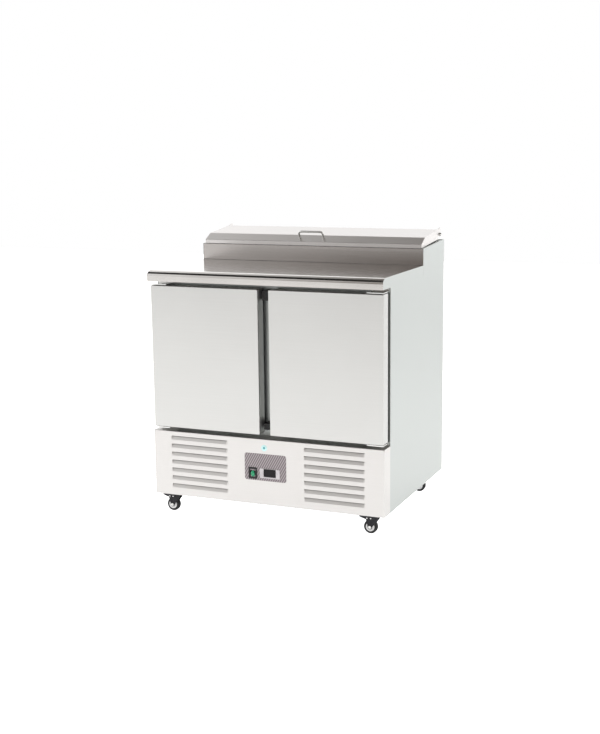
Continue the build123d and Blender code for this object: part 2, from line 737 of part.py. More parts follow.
# The lid's brackets stand on the back strip and carry a bolt with a domed nut on each side.
bracket_t = 3.0
bracket_x = tab_x - 0.3
bracket_front = lid_axis_y - 8
bracket_back = lid_axis_y + 12
bracket_foot = 22.0
bolt_head_r = 7.0
nut_r = 6.0
nut_x = lid_w / 2 + 3
with BuildPart() as lid_hinges:
    for sign in (-1, 1):
        x_a = sign * bracket_x
        x_b = sign * (bracket_x - bracket_t)
        block(min(x_a, x_b), max(x_a, x_b), bracket_front, bracket_back, strip_z, lid_axis_z + 8)
        x_c = sign * (bracket_x - bracket_foot)
        block(min(x_a, x_c), max(x_a, x_c), bracket_front, bracket_back, strip_z, strip_z + bracket_t)
        rod(lid_bolt_r, (sign * (bracket_x - 6), lid_axis_y, lid_axis_z),
            (sign * nut_x, lid_axis_y, lid_axis_z))
        rod(bolt_head_r, (sign * (bracket_x - 8), lid_axis_y, lid_axis_z),
            (sign * (bracket_x - bracket_t), lid_axis_y, lid_axis_z))
        with Locations((sign * nut_x, lid_axis_y, lid_axis_z)):
            Sphere(nut_r)
        with BuildSketch(Plane.YZ.offset(sign * (tab_x - 0.15))):
            with Locations((lid_axis_y, lid_axis_z)):
                Circle(8)
                Circle(lid_bolt_r, mode=Mode.SUBTRACT)
        extrude(amount=sign * (tab_t + 0.45), mode=Mode.SUBTRACT)
save(lid_hinges.part, "lid_hinges")

# ---------------------------------------------------------------- cooling unit
unit_floor = caster_h + tray_t
comp_x = -230.0
comp_y = back - 270
comp_r = 72.0
comp_foot = 12.0
comp_h = 150.0
comp_dome = 30.0
with BuildPart() as compressor:
    with BuildSketch(Plane(origin=(comp_x, comp_y, unit_floor + comp_foot))):
        Circle(comp_r)
    extrude(amount=comp_h)
    fillet(compressor.edges().filter_by(GeomType.CIRCLE), comp_dome)
    block(comp_x - 90, comp_x + 90, comp_y - 50, comp_y + 50,
          unit_floor + comp_foot, unit_floor + comp_foot + 3)
    with Locations((comp_x, comp_y, unit_floor + comp_foot / 2)):
        with GridLocations(150, 80, 2, 2):
            Cylinder(9, comp_foot)
save(compressor.part, "compressor")

coil_x = 210.0
coil_w = 250.0
coil_y0 = front + 95
coil_t = 44.0
coil_h = 200.0
fan_z = unit_floor + 4 + coil_h / 2
fin_t = 0.8
fin_count = 26
tube_r = 4.75


def finned_coil(x0, x1, y0, y1, z0, z1, fins, rows):
    """End plates and fins threaded on level tubes, in the part being built."""
    for spot in range(fins):
        x = x0 + spot * (x1 - x0) / (fins - 1)
        block(x - fin_t / 2, x + fin_t / 2, y0, y1, z0, z1)
    for row in range(rows):
        z = z0 + (row + 0.5) * (z1 - z0) / rows
        rod(tube_r, (x0 - 8, (y0 + y1) / 2, z), (x1 + 8, (y0 + y1) / 2, z))


with BuildPart() as condenser_coil:
    finned_coil(coil_x - coil_w / 2, coil_x + coil_w / 2, coil_y0, coil_y0 + coil_t,
                unit_floor, unit_floor + coil_h, fin_count, 6)
save(condenser_coil.part, "condenser_coil")

fan_r = 88.0
fan_hub_r = 22.0
shroud_y = coil_y0 + coil_t
motor_y0 = shroud_y + 48
fan_shaft_r = 3.0
fan_ahead = 26.0          # rotor in front of its motor bracket
shroud_depth = 40.0
shroud_t = 2.0
motor_l = 50.0
strap_t = 3.0             # strap that carries the motor
strap_half = 10.0
with BuildPart() as condenser_shroud:
    block(coil_x - coil_w / 2, coil_x + coil_w / 2, shroud_y, shroud_y + shroud_depth,
          unit_floor, unit_floor + coil_h)
    block(coil_x - coil_w / 2 + shroud_t, coil_x + coil_w / 2 - shroud_t,
          shroud_y - 1, shroud_y + shroud_depth - shroud_t,
          unit_floor + shroud_t, unit_floor + coil_h - shroud_t, mode=Mode.SUBTRACT)
    rod(fan_r + 4, (coil_x, shroud_y + 30, fan_z), (coil_x, shroud_y + 60, fan_z), mode=Mode.SUBTRACT)
    motor_back = motor_y0 + strap_t
    block(coil_x - coil_w / 2, coil_x + coil_w / 2, motor_y0, motor_back,
          fan_z - strap_half, fan_z + strap_half)
    for sign in (-1, 1):
        x = coil_x + sign * (coil_w / 2 - strap_t / 2)
        block(x - strap_t / 2, x + strap_t / 2, shroud_y + shroud_depth - shroud_t, motor_back,
              fan_z - strap_half, fan_z + strap_half)
    rod(30, (coil_x, motor_back, fan_z), (coil_x, motor_back + motor_l, fan_z))
    rod(fan_shaft_r, (coil_x, motor_y0 - fan_ahead - 4, fan_z), (coil_x, motor_back, fan_z))
save(condenser_shroud.part, "condenser_shroud")


def fan_rotor(centre, radius, hub, length, blades):
    """A hub with slanted blades turning about a Y axis, in the part being built."""
    x, y, z = centre
    for spot in range(blades):
        turn = 360 / blades * spot
        reach = radius - hub + 3
        with Locations(Location((x, y, z), (0, turn, 0))):
            with Locations(Location((hub - 3 + reach / 2, length / 2, 0), (28, 0, 0))):
                Box(reach, 1.6, radius * 0.62)
    rod(hub, (x, y, z), (x, y + length, z))
    rod(fan_shaft_r + running, (x, y - 1, z), (x, y + length + 1, z), mode=Mode.SUBTRACT)


with BuildPart() as condenser_fan:
    fan_rotor((coil_x, motor_y0 - fan_ahead, fan_z), fan_r, fan_hub_r, 16, 5)
save(condenser_fan.part, "condenser_fan")

# Waste water from the cabinet dries off in a shallow tray beside the compressor.
drip_x0 = -90.0
drip_x1 = 70.0
drip_y0 = back - 400
drip_y1 = drip_y0 + 220
drip_h = 34.0
with BuildPart() as drip_tray:
    block(drip_x0, drip_x1, drip_y0, drip_y1, unit_floor, unit_floor + drip_h)
    block(drip_x0 + sheet, drip_x1 - sheet, drip_y0 + sheet, drip_y1 - sheet,
          unit_floor + sheet, unit_floor + drip_h + 1, mode=Mode.SUBTRACT)
save(drip_tray.part, "drip_tray")

# The evaporator hangs on the back wall under the pans, behind its cover.
evap_half = 140.0
evap_drop = 24.0          # its top under the pans
evap_z1 = well_z - pan_depth - evap_drop
evap_h = 120.0
evap_z0 = evap_z1 - evap_h
evap_y1 = inside_back - 2
with BuildPart() as evaporator_coil:
    finned_coil(-evap_half + 20, evap_half - 20, evap_y1 - 44, evap_y1 - 4, evap_z0 + 10, evap_z1 - 10, 22, 4)
save(evaporator_coil.part, "evaporator_coil")

cover_y0 = evap_y1 - 88
evap_fan_r = 50.0
evap_mid_z = (evap_z0 + evap_z1) / 2
with BuildPart() as evaporator_cover:
    block(-evap_half, evap_half, cover_y0, inside_back, evap_z0, evap_z1)
    block(-evap_half + sheet, evap_half - sheet, cover_y0 + sheet, inside_back + 1,
          evap_z0 + sheet, evap_z1 - sheet, mode=Mode.SUBTRACT)
    rod(evap_fan_r + 4, (0, cover_y0 - 1, evap_mid_z), (0, cover_y0 + 3, evap_mid_z), mode=Mode.SUBTRACT)
    with Locations((0, evap_y1 - 20, evap_z0)):
        with GridLocations(30, 1, 8, 1):
            Box(18, 24, 6, mode=Mode.SUBTRACT)
    block(-evap_fan_r - 8, evap_fan_r + 8, cover_y0 - 4, cover_y0, evap_mid_z - 4, evap_mid_z + 4)
    rod(12, (0, cover_y0 - 4, evap_mid_z), (0, cover_y0 + 12, evap_mid_z))
    rod(fan_shaft_r, (0, cover_y0 + 12, evap_mid_z), (0, cover_y0 + 34, evap_mid_z))
save(evaporator_cover.part, "evaporator_cover")

with BuildPart() as evaporator_fan:
    fan_rotor((0, cover_y0 + 18, evap_mid_z), evap_fan_r, 14, 12, 5)
save(evaporator_fan.part, "evaporator_fan")

# Copper pipes: compressor to condenser, and the return line along the back.
pipe_r = 4.0
with BuildPart() as refrigerant_pipes:
    pipe_z = unit_floor + 110
    tube_run(pipe_r, [
        (comp_x + comp_r, comp_y - 20, pipe_z),
        (comp_x + comp_r + 40, comp_y - 20, pipe_z),
        (comp_x + comp_r + 40, coil_y0 - 14, pipe_z),
        (coil_x - coil_w / 2 - 30, coil_y0 - 14, pipe_z),
        (coil_x - coil_w / 2 - 30, coil_y0 + coil_t / 2, pipe_z),
    ], 12)
    tube_run(pipe_r, [
        (comp_x, comp_y + comp_r, pipe_z - 20),
        (comp_x, back - 70, pipe_z - 20),
        (coil_x - 60, back - 70, pipe_z - 20),
        (coil_x - 60, back - 70, panel_top - 6),
    ], 16)
save(refrigerant_pipes.part, "refrigerant_pipes")

# ---------------------------------------------------------------- casters
plate_t = 2.5
plate_half = 30.0
bolt_in = 7.0             # bolts in from the plate's edges
race_r = 21.0
race_h = 6.5
fork_t = 2.0
fork_gap = 0.3
fork_top = caster_h - plate_t - race_h - fork_gap
fork_in = wheel_w / 2 + 1
king_r = 5.0
pedal_pin_r = 2.5
pedal_r = trail + 10      # pedal's pivot from the swivel axis
pedal_z = 2 * wheel_r + 7
pedal_reach = 58.0
caster_spots = {
    "front_left": (-(half - caster_in_x), front + caster_in_front),
    "front_right": (half - caster_in_x, front + caster_in_front),
    "back_left": (-(half - caster_in_x), back - caster_in_back),
    "back_right": (half - caster_in_x, back - caster_in_back),
}

with BuildPart() as caster_plates:
    for x, y in caster_spots.values():
        block(x - plate_half, x + plate_half, y - plate_half, y + plate_half, caster_h - plate_t, caster_h)
        rod(race_r, (x, y, caster_h - plate_t - race_h), (x, y, caster_h - plate_t))
        rod(king_r, (x, y, fork_top - fork_t - 4), (x, y, caster_h - plate_t))
        rod(8, (x, y, fork_top - fork_t - fork_gap - 3), (x, y, fork_top - fork_t - fork_gap))
save(caster_plates.part, "caster_plates")

for spot, (x, y) in caster_spots.items():
    braked = spot.startswith("front")
    hub_x = x - trail
    with BuildPart() as fork:
        rod(20, (x, y, fork_top - fork_t), (x, y, fork_top))
        block(x - 22, x + 16, y - fork_in - fork_t, y + fork_in + fork_t, fork_top - fork_t, fork_top)
        for sign in (-1, 1):
            with BuildSketch(Plane.XZ.offset(-(y + sign * (fork_in + fork_t / 2) + fork_t / 2))):
                with BuildLine():
                    Polyline(
                        (x + 16, fork_top),
                        (x - 32, fork_top - 4),
                        (x - 32, pedal_z - 5),
                        (hub_x - 7, wheel_r),
                        (hub_x + 7, wheel_r),
                        (x + 14, pedal_z),
                        close=True,
                    )
                make_face()
                with Locations((hub_x, wheel_r)):
                    Circle(8)
            extrude(amount=fork_t)
        rod(axle_r, (hub_x, y - fork_in - fork_t - 1, wheel_r), (hub_x, y + fork_in + fork_t + 1, wheel_r))
        for sign in (-1, 1):
            outer = y + sign * (fork_in + fork_t)
            rod(6.5, (hub_x, outer, wheel_r), (hub_x, outer + sign * 3.5, wheel_r))
        rod(king_r + running, (x, y, fork_top - fork_t - 1), (x, y, fork_top + 1), mode=Mode.SUBTRACT)
        if braked:
            rod(pedal_pin_r, (x - pedal_r, y - fork_in - fork_t, pedal_z),
                (x - pedal_r, y + fork_in + fork_t, pedal_z))
    save(fork.part, f"caster_fork_{spot}")

    with BuildPart() as wheel:
        with BuildSketch(Plane.XZ.offset(-(y + wheel_w / 2))):
            with Locations((hub_x, wheel_r)):
                Circle(wheel_r)
        extrude(amount=wheel_w)
        fillet(wheel.edges().filter_by(GeomType.CIRCLE), 5)
        rod(axle_r + running, (hub_x, y - wheel_w, wheel_r), (hub_x, y + wheel_w, wheel_r), mode=Mode.SUBTRACT)
    save(wheel.part, f"wheel_{spot}")

    if braked:
        with BuildPart() as pedal:
            with BuildSketch(Plane.XZ.offset(-(y + wheel_w / 2))):
                with Locations((x - pedal_r, pedal_z)):
                    Circle(5)
                Polygon(
                    (x - pedal_r - 2, pedal_z + 4.8),
                    (x - pedal_reach + 12, pedal_z + 3),
                    (x - pedal_reach, pedal_z - 4),
                    (x - pedal_reach + 1, pedal_z - 6),
                    (x - pedal_reach + 13, pedal_z + 0.5),
                    (x - pedal_r - 3, pedal_z + 1),
                    align=None,
                )
                Polygon(
                    (x - pedal_r + 4, pedal_z),
                    (x - pedal_r - 4.8, pedal_z),
                    (x - pedal_r - 6, pedal_z - 8.5),
                    (x - pedal_r - 3, pedal_z - 8.5),
                    align=None,
                )
            extrude(amount=wheel_w)
            rod(pedal_pin_r + running, (x - pedal_r, y - wheel_w, pedal_z), (x - pedal_r, y + wheel_w, pedal_z),
                mode=Mode.SUBTRACT)
        save(pedal.part, f"brake_pedal_{spot}")

# ---------------------------------------------------------------- fasteners
# Hex heads hold the casters; round heads hold the hinges and the back panel.
bolt_r = 4.5
bolt_t = 4.0
head_r = 3.2
head_t = 1.4
with BuildPart() as screws:
    with BuildSketch(Plane.XY.offset(caster_h - plate_t - bolt_t)):
        with Locations(*[(x, y) for x, y in caster_spots.values()]):
            with GridLocations(2 * (plate_half - bolt_in), 2 * (plate_half - bolt_in), 2, 2):
                RegularPolygon(bolt_r, 6)
    extrude(amount=bolt_t)
    for sign in (-1, 1):
        for x in (half - hinge_inset - hinge_l * 0.25, half - hinge_inset - hinge_l * 0.75):
            for z in (door_top + 9.5, door_low - 9.5):
                rod(head_r, (sign * x, face - hinge_t, z), (sign * x, face - hinge_t - head_t, z))
        foot_x = sign * (bracket_x - 14)
        foot_top = strip_z + bracket_t
        rod(head_r, (foot_x, lid_axis_y + 2, foot_top), (foot_x, lid_axis_y + 2, foot_top + head_t))
        for z in (caster_h + 40, panel_top + 20, (panel_top + riser_top) / 2, strip_z - 20):
            rod(head_r, (sign * (half - 14), back, z), (sign * (half - 14), back + head_t, z))
save(screws.part, "screws")
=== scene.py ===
import bmesh
import bpy
import json
from math import atan2, cos, hypot, pi, radians, sin, tan
from mathutils import Matrix, Vector


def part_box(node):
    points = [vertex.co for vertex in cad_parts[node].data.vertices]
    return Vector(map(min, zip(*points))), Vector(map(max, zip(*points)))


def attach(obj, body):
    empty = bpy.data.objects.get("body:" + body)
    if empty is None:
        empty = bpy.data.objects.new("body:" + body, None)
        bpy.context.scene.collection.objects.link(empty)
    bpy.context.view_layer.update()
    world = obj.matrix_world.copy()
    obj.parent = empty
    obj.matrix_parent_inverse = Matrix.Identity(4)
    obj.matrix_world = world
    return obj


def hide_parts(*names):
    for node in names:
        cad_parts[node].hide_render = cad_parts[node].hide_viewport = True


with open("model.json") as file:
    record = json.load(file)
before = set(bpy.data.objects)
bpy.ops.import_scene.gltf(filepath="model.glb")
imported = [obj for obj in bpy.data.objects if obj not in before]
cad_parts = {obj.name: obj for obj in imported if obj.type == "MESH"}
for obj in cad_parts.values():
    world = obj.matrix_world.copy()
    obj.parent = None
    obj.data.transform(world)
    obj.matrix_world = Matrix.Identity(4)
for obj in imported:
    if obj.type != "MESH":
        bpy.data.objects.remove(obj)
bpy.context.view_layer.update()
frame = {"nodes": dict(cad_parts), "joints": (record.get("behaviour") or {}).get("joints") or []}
nodes = frame["nodes"]
mm = 0.001


# ================================================================ materials
def colour(hex_code):
    """An sRGB hex colour as linear RGBA."""
    parts = [int(hex_code[i:i + 2], 16) / 255 for i in (0, 2, 4)]
    return tuple(c / 12.92 if c <= 0.04045 else ((c + 0.055) / 1.055) ** 2.4 for c in parts) + (1.0,)


def add(tree, kind, inputs=None, stops=(), **settings):
    """Adds a node: inputs are values or (node, output) links, stops a colour ramp's (place, colour) pairs."""
    node = tree.nodes.new(kind)
    for key, value in settings.items():
        setattr(node, key, value)
    for key, value in (inputs or {}).items():
        if isinstance(value, tuple) and isinstance(value[0], bpy.types.Node):
            tree.links.new(value[0].outputs[value[1]], node.inputs[key])
        else:
            node.inputs[key].default_value = value
    for k, (place, value) in enumerate(stops):
        elements = node.color_ramp.elements
        stop = elements[0] if k == 0 else elements[-1] if k == len(stops) - 1 else elements.new(place)
        stop.position, stop.color = place, value
    return node


def material(name, **sockets):
    """A new material with its shader's own sockets set; returns the material, its tree and its shader."""
    made = bpy.data.materials.new(name)
    made.use_nodes = True
    shader = made.node_tree.nodes["Principled BSDF"]
    for key, value in sockets.items():
        shader.inputs[key.replace("_", " ")].default_value = value
    return made, made.node_tree, shader


def grain(tree, stretch, size, detail=6.0):
    """Noise drawn out into fine lines: stretch is the scale along X, Y and Z, size the line spacing in metres."""
    where = add(tree, "ShaderNodeTexCoord")
    drawn = add(tree, "ShaderNodeMapping", {"Vector": (where, "Object"), "Scale": stretch})
    return add(tree, "ShaderNodeTexNoise", {"Vector": (drawn, "Vector"), "Scale": 1 / size, "Detail": detail})


def brushed_stainless(name, tone, roughness, lines, depth):
    """Cold-rolled stainless sheet rubbed with a belt: fine parallel lines spread each highlight across them."""
    made, tree, shader = material(name, Metallic=1.0)
    fine = grain(tree, lines, 1.2 * mm)
    broad = grain(tree, (1, 1, 1), 260 * mm, 2.0)
    light, dark = tone
    blend = add(tree, "ShaderNodeMath", {0: (fine, "Fac"), 1: (broad, "Fac")}, operation="ADD")
    half_blend = add(tree, "ShaderNodeMath", {0: (blend, "Value"), 1: 0.5}, operation="MULTIPLY")
    tint = add(tree, "ShaderNodeValToRGB", {"Fac": (half_blend, "Value")},
               [(0.35, colour(dark)), (0.65, colour(light))])
    gloss = add(tree, "ShaderNodeMapRange", {"Value": (half_blend, "Value"), "From Min": 0.3, "From Max": 0.7,
                                             "To Min": roughness * 0.88, "To Max": roughness * 1.12})
    bump = add(tree, "ShaderNodeBump", {"Height": (fine, "Fac"), "Strength": depth, "Distance": 0.02 * mm})
    tree.links.new(tint.outputs["Color"], shader.inputs["Base Color"])
    tree.links.new(gloss.outputs["Result"], shader.inputs["Roughness"])
    tree.links.new(bump.outputs["Normal"], shader.inputs["Normal"])
    return made


def moulded(name, hex_code, roughness, grit=0.5, depth=0.25, **sockets):
    """Injection-moulded plastic: a spark-eroded mould leaves an even fine grain that dulls the shine."""
    made, tree, shader = material(name, **sockets)
    base = colour(hex_code)
    pits = grain(tree, (1, 1, 1), grit * mm, 3.0)
    cloud = grain(tree, (1, 1, 1), 40 * mm, 2.0)
    darker = tuple(c * 0.82 for c in base[:3]) + (1.0,)
    tint = add(tree, "ShaderNodeValToRGB", {"Fac": (cloud, "Fac")}, [(0.3, darker), (0.7, base)])
    gloss = add(tree, "ShaderNodeMapRange", {"Value": (cloud, "Fac"), "To Min": roughness * 0.85,
                                             "To Max": roughness * 1.15})
    bump = add(tree, "ShaderNodeBump", {"Height": (pits, "Fac"), "Strength": depth, "Distance": 0.05 * mm})
    tree.links.new(tint.outputs["Color"], shader.inputs["Base Color"])
    tree.links.new(gloss.outputs["Result"], shader.inputs["Roughness"])
    tree.links.new(bump.outputs["Normal"], shader.inputs["Normal"])
    return made


def plain_metal(name, hex_code, roughness, spot, contrast, lines=(1, 1, 1)):
    """Metal with a mottled finish, such as zinc spangle, mill aluminium or drawn copper: spot is its size."""
    made, tree, shader = material(name, Metallic=1.0)
    base = colour(hex_code)
    where = add(tree, "ShaderNodeTexCoord")
    drawn = add(tree, "ShaderNodeMapping", {"Vector": (where, "Object"), "Scale": lines})
    cells = add(tree, "ShaderNodeTexVoronoi", {"Vector": (drawn, "Vector"), "Scale": 1 / spot})
    darker = tuple(c * (1 - contrast) for c in base[:3]) + (1.0,)
    tint = add(tree, "ShaderNodeValToRGB", {"Fac": (cells, "Color")}, [(0.2, darker), (0.8, base)])
    gloss = add(tree, "ShaderNodeMapRange", {"Value": (cells, "Distance"), "To Min": roughness * 0.8,
                                             "To Max": roughness * 1.3})
    tree.links.new(tint.outputs["Color"], shader.inputs["Base Color"])
    tree.links.new(gloss.outputs["Result"], shader.inputs["Roughness"])
    return made


def stucco_aluminium():
    """Aluminium sheet rolled with a pebble pattern, about 4 mm across, so liners hide dents and scatter light."""
    made, tree, shader = material("stucco_aluminium", Metallic=1.0)
    pebble = grain(tree, (1, 1, 1), 4 * mm, 1.0)
    tint = add(tree, "ShaderNodeValToRGB", {"Fac": (pebble, "Fac")},
               [(0.3, colour("b4b6b6")), (0.7, colour("d4d6d6"))])
    gloss = add(tree, "ShaderNodeMapRange", {"Value": (pebble, "Fac"), "To Min": 0.28, "To Max": 0.42})
    bump = add(tree, "ShaderNodeBump", {"Height": (pebble, "Fac"), "Strength": 0.5, "Distance": 0.4 * mm})
    tree.links.new(tint.outputs["Color"], shader.inputs["Base Color"])
    tree.links.new(gloss.outputs["Result"], shader.inputs["Roughness"])
    tree.links.new(bump.outputs["Normal"], shader.inputs["Normal"])
    return made


def printed_film():
    """Polyester film printed with slanted dark stripes on mauve-grey, crossed by a faint weave; its face is satin."""
    made, tree, shader = material("printed_polyester_film", Coat_Weight=0.2, Coat_Roughness=0.25)
    pitch = 7.6 * mm
    where = add(tree, "ShaderNodeTexCoord")
    waves = []
    for across, step in (((0.87, 0, -0.5), pitch), ((0.5, 0, 0.87), pitch * 0.45)):
        reach = add(tree, "ShaderNodeVectorMath", {0: (where, "Object"), 1: across}, operation="DOT_PRODUCT")
        phase = add(tree, "ShaderNodeMath", {0: (reach, "Value"), 1: 2 * pi / step}, operation="MULTIPLY")
        waves.append(add(tree, "ShaderNodeMath", {0: (phase, "Value")}, operation="SINE"))
    weave = add(tree, "ShaderNodeMath", {0: (waves[1], "Value"), 1: 0.25, 2: (waves[0], "Value")},
                operation="MULTIPLY_ADD")
    tone = add(tree, "ShaderNodeMapRange", {"Value": (weave, "Value"), "From Min": -1.0, "From Max": 1.0})
    tint = add(tree, "ShaderNodeValToRGB", {"Fac": (tone, "Result")},
               [(0.2, colour("a0979a")), (0.8, colour("655d60"))])
    bump = add(tree, "ShaderNodeBump", {"Height": (weave, "Value"), "Strength": 0.15, "Distance": 0.05 * mm})
    gloss = add(tree, "ShaderNodeMapRange", {"Value": (weave, "Value"), "To Min": 0.4, "To Max": 0.5})
    tree.links.new(tint.outputs["Color"], shader.inputs["Base Color"])
    tree.links.new(bump.outputs["Normal"], shader.inputs["Normal"])
    tree.links.new(gloss.outputs["Result"], shader.inputs["Roughness"])
    return made


def poured_foam():
    """Polyurethane foam: yellowish closed cells about a millimetre across, drawn at 3 mm so that they show."""
    made, tree, shader = material("polyurethane_foam", Subsurface_Weight=0.1)
    where = add(tree, "ShaderNodeTexCoord")
    cells = add(tree, "ShaderNodeTexVoronoi", {"Vector": (where, "Object"), "Scale": 1 / (3 * mm)})
    tint = add(tree, "ShaderNodeValToRGB", {"Fac": (cells, "Distance")},
               [(0.1, colour("c9b684")), (0.7, colour("e6d8ae"))])
    bump = add(tree, "ShaderNodeBump", {"Height": (cells, "Distance"), "Strength": 0.6, "Distance": 0.5 * mm})
    gloss = add(tree, "ShaderNodeMapRange", {"Value": (cells, "Distance"), "To Min": 0.8, "To Max": 0.95})
    tree.links.new(tint.outputs["Color"], shader.inputs["Base Color"])
    tree.links.new(bump.outputs["Normal"], shader.inputs["Normal"])
    tree.links.new(gloss.outputs["Result"], shader.inputs["Roughness"])
    return made


# Belt lines run level on the doors and lid, and front to back on the worktop. The doors, lower panel, sides, riser,
# worktop and lid are one stainless steel. Each gets its own lighter, darker, warmer or greener tone for how much
# light it catches and what it reflects: painted light and painted reflection.
level_lines = (0.004, 1, 1)
deep_lines = (1, 0.004, 1)
steel = brushed_stainless("satin_stainless", ("cacac8", "c4c4c2"), 0.36, level_lines, 0.05)
panel_steel = brushed_stainless("satin_stainless_lower_panel", ("d5d3d1", "cfcdcb"), 0.42, level_lines, 0.05)
side_steel = brushed_stainless("satin_stainless_side", ("bdc1bf", "b7bbb9"), 0.38, (1, 1, 0.004), 0.05)
riser_steel = brushed_stainless("bright_stainless_riser", ("b9b4b1", "aeaaa7"), 0.22, level_lines, 0.08)
top_steel = brushed_stainless("bright_stainless_worktop", ("d2cfcc", "c4c1be"), 0.15, deep_lines, 0.05)
bright_steel = brushed_stainless("polished_stainless", ("e2e2e0", "d2d2d0"), 0.16, level_lines, 0.04)
pan_steel = brushed_stainless("deep_drawn_stainless", ("d8d8d6", "c6c6c4"), 0.2, (1, 1, 0.02), 0.08)
lid_steel = brushed_stainless("brushed_stainless_lid", ("dcdad8", "cecac8"), 0.34, level_lines, 0.08)
liner_metal = stucco_aluminium()
zinc = plain_metal("galvanised_steel", "a9adb0", 0.42, 14 * mm, 0.25)
fin_metal = plain_metal("mill_aluminium", "cfd2d4", 0.35, 6 * mm, 0.12)
copper = plain_metal("drawn_copper", "c98a68", 0.28, 9 * mm, 0.2)
black_zinc = plain_metal("black_zinc_steel", "38383a", 0.38, 5 * mm, 0.3)
black_abs = moulded("black_abs", "141414", 0.5)
black_enamel = moulded("black_enamel", "161616", 0.22, 0.9, 0.15, Coat_Weight=0.5, Coat_Roughness=0.12)
grey_abs = moulded("light_grey_abs", "c9c5c7", 0.4)
window_tint = moulded("smoked_acrylic", "151213", 0.34, 0.9, 0.02, Specular_IOR_Level=0.22)
# The rocker body's near-black colour is painted shade over the rocker's upper half.
rocker_shade_black = moulded("rocker_painted_shade_black", "0b0b0b", 0.62, Specular_IOR_Level=0.15)
# The lens's faint green emission is painted light: a glow standing in for the light on the rocker's lower half.
green_lens = moulded("green_polycarbonate", "169a68", 0.14, 0.8, 0.03, Transmission_Weight=0.25,
                     Emission_Color=colour("22b583"), Emission_Strength=0.12, IOR=1.58)
seal_rubber = moulded("black_seal_rubber", "121212", 0.62, 0.4, 0.3)
tread_rubber = moulded("tread_rubber", "1b1b1c", 0.7, 0.7, 0.4)
hub_nylon = moulded("white_nylon_hub", "f6f6f6", 0.4)
coated_wire = moulded("coated_wire", "d9dcdc", 0.3, 0.8, 0.1, Coat_Weight=0.3)
badge_resin = moulded("domed_resin_disc", "c4ecec", 0.1, 0.9, 0.02, Coat_Weight=0.8, Coat_Roughness=0.04)
badge_core = moulded("domed_resin_disc_core", "3f9aa2", 0.1, 0.9, 0.02, Coat_Weight=0.8, Coat_Roughness=0.04)
foam = poured_foam()
film = printed_film()


def dress(node_name, made):
    """Gives a CAD node its material, with smooth curved faces and sharp folds."""
    mesh = nodes[node_name].data
    mesh.materials.clear()
    mesh.materials.append(made)
    mesh.shade_smooth()
    mesh.set_sharp_from_angle(angle=radians(30))


# ================================================================ mesh making
def piece(name, mesh_maker, made, body, replaces=(), weighted=True, thickness=0.0, even=True):
    """One visible piece: mesh_maker fills a bmesh, then it rides on its body and stands for CAD nodes."""
    filled = bmesh.new()
    mesh_maker(filled)
    bmesh.ops.remove_doubles(filled, verts=filled.verts, dist=1e-6)
    bmesh.ops.recalc_face_normals(filled, faces=filled.faces)
    for face in filled.faces:
        face.smooth = True
    for edge in filled.edges:
        edge.smooth = len(edge.link_faces) == 2 and edge.calc_face_angle(0) < radians(38)
    mesh = bpy.data.meshes.new(name)
    filled.to_mesh(mesh)
    filled.free()
    materials = made if isinstance(made, (list, tuple)) else [made]
    for one in materials:
        mesh.materials.append(one)
    thing = bpy.data.objects.new(name, mesh)
    bpy.context.scene.collection.objects.link(thing)
    if thickness:
        shell = thing.modifiers.new("sheet", "SOLIDIFY")
        shell.thickness = thickness
        shell.offset = -1
        shell.use_even_offset = even
    if weighted:
        shading = thing.modifiers.new("flat_faces_stay_flat", "WEIGHTED_NORMAL")
        shading.keep_sharp = True
    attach(thing, body)
    if replaces:
        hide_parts(*replaces)
    return thing


def loop_of(filled, points):
    return [filled.verts.new(p) for p in points]


def skin_loops(filled, loops, closed=True, cap_start=False, cap_end=False, index=0):
    """Faces between neighbouring loops of points, with flat ends where asked."""
    rows = [loop_of(filled, points) for points in loops]
    count = len(rows[0])
    faces = []
    for near, far in zip(rows, rows[1:]):
        for i in range(count if closed else count - 1):
            j = (i + 1) % count
            faces.append(filled.faces.new((near[i], near[j], far[j], far[i])))
    if cap_start:
        faces.append(filled.faces.new(rows[0][::-1]))
    if cap_end:
        faces.append(filled.faces.new(rows[-1]))
    for face in faces:
        face.material_index = index
    return rows


def rounded_rectangle(half_w, half_h, radius, steps=5):
    """Corner points of a rounded rectangle, counter-clockwise."""
    radius = max(min(radius, half_w * 0.999, half_h * 0.999), 1e-5)
    points = []
    for corner, (sx, sy) in enumerate(((1, 1), (-1, 1), (-1, -1), (1, -1))):
        for step in range(steps + 1):
            turn = (corner + step / steps) * pi / 2
            points.append((sx * (half_w - radius) + radius * cos(turn),
                           sy * (half_h - radius) + radius * sin(turn)))
    return points


def rings(filled, centre, steps, plane="XZ", cap_start=True, cap_end=True, corner=5, index=0, close=False):
    """A rounded-rectangle loft. steps are (distance along the axis, half width, half height, corner radius)."""
    cx, cy, cz = centre
    loops = []
    for along, half_w, half_h, radius in steps:
        loop = []
        for u, v in rounded_rectangle(half_w, half_h, radius, corner):
            if plane == "XZ":
                loop.append((cx + u, cy + along, cz + v))
            elif plane == "XY":
                loop.append((cx + u, cy + v, cz + along))
            else:
                loop.append((cx + along, cy + u, cz + v))
        loops.append(loop)
    if close:
        loops.append(loops[0])
    skin_loops(filled, loops, cap_start=cap_start and not close, cap_end=cap_end and not close, index=index)


def eased(radius, half_w, half_h, corner, start=0.0, turns=4, direction=1):
    """Steps of a rounded front edge, from the flat face at start back to the full size."""
    steps = []
    for i in range(turns + 1):
        a = pi / 2 * i / turns
        inset = radius * (1 - sin(a))
        steps.append((start + direction * radius * (1 - cos(a)), half_w - inset, half_h - inset,
                      corner + radius - inset))
    return steps


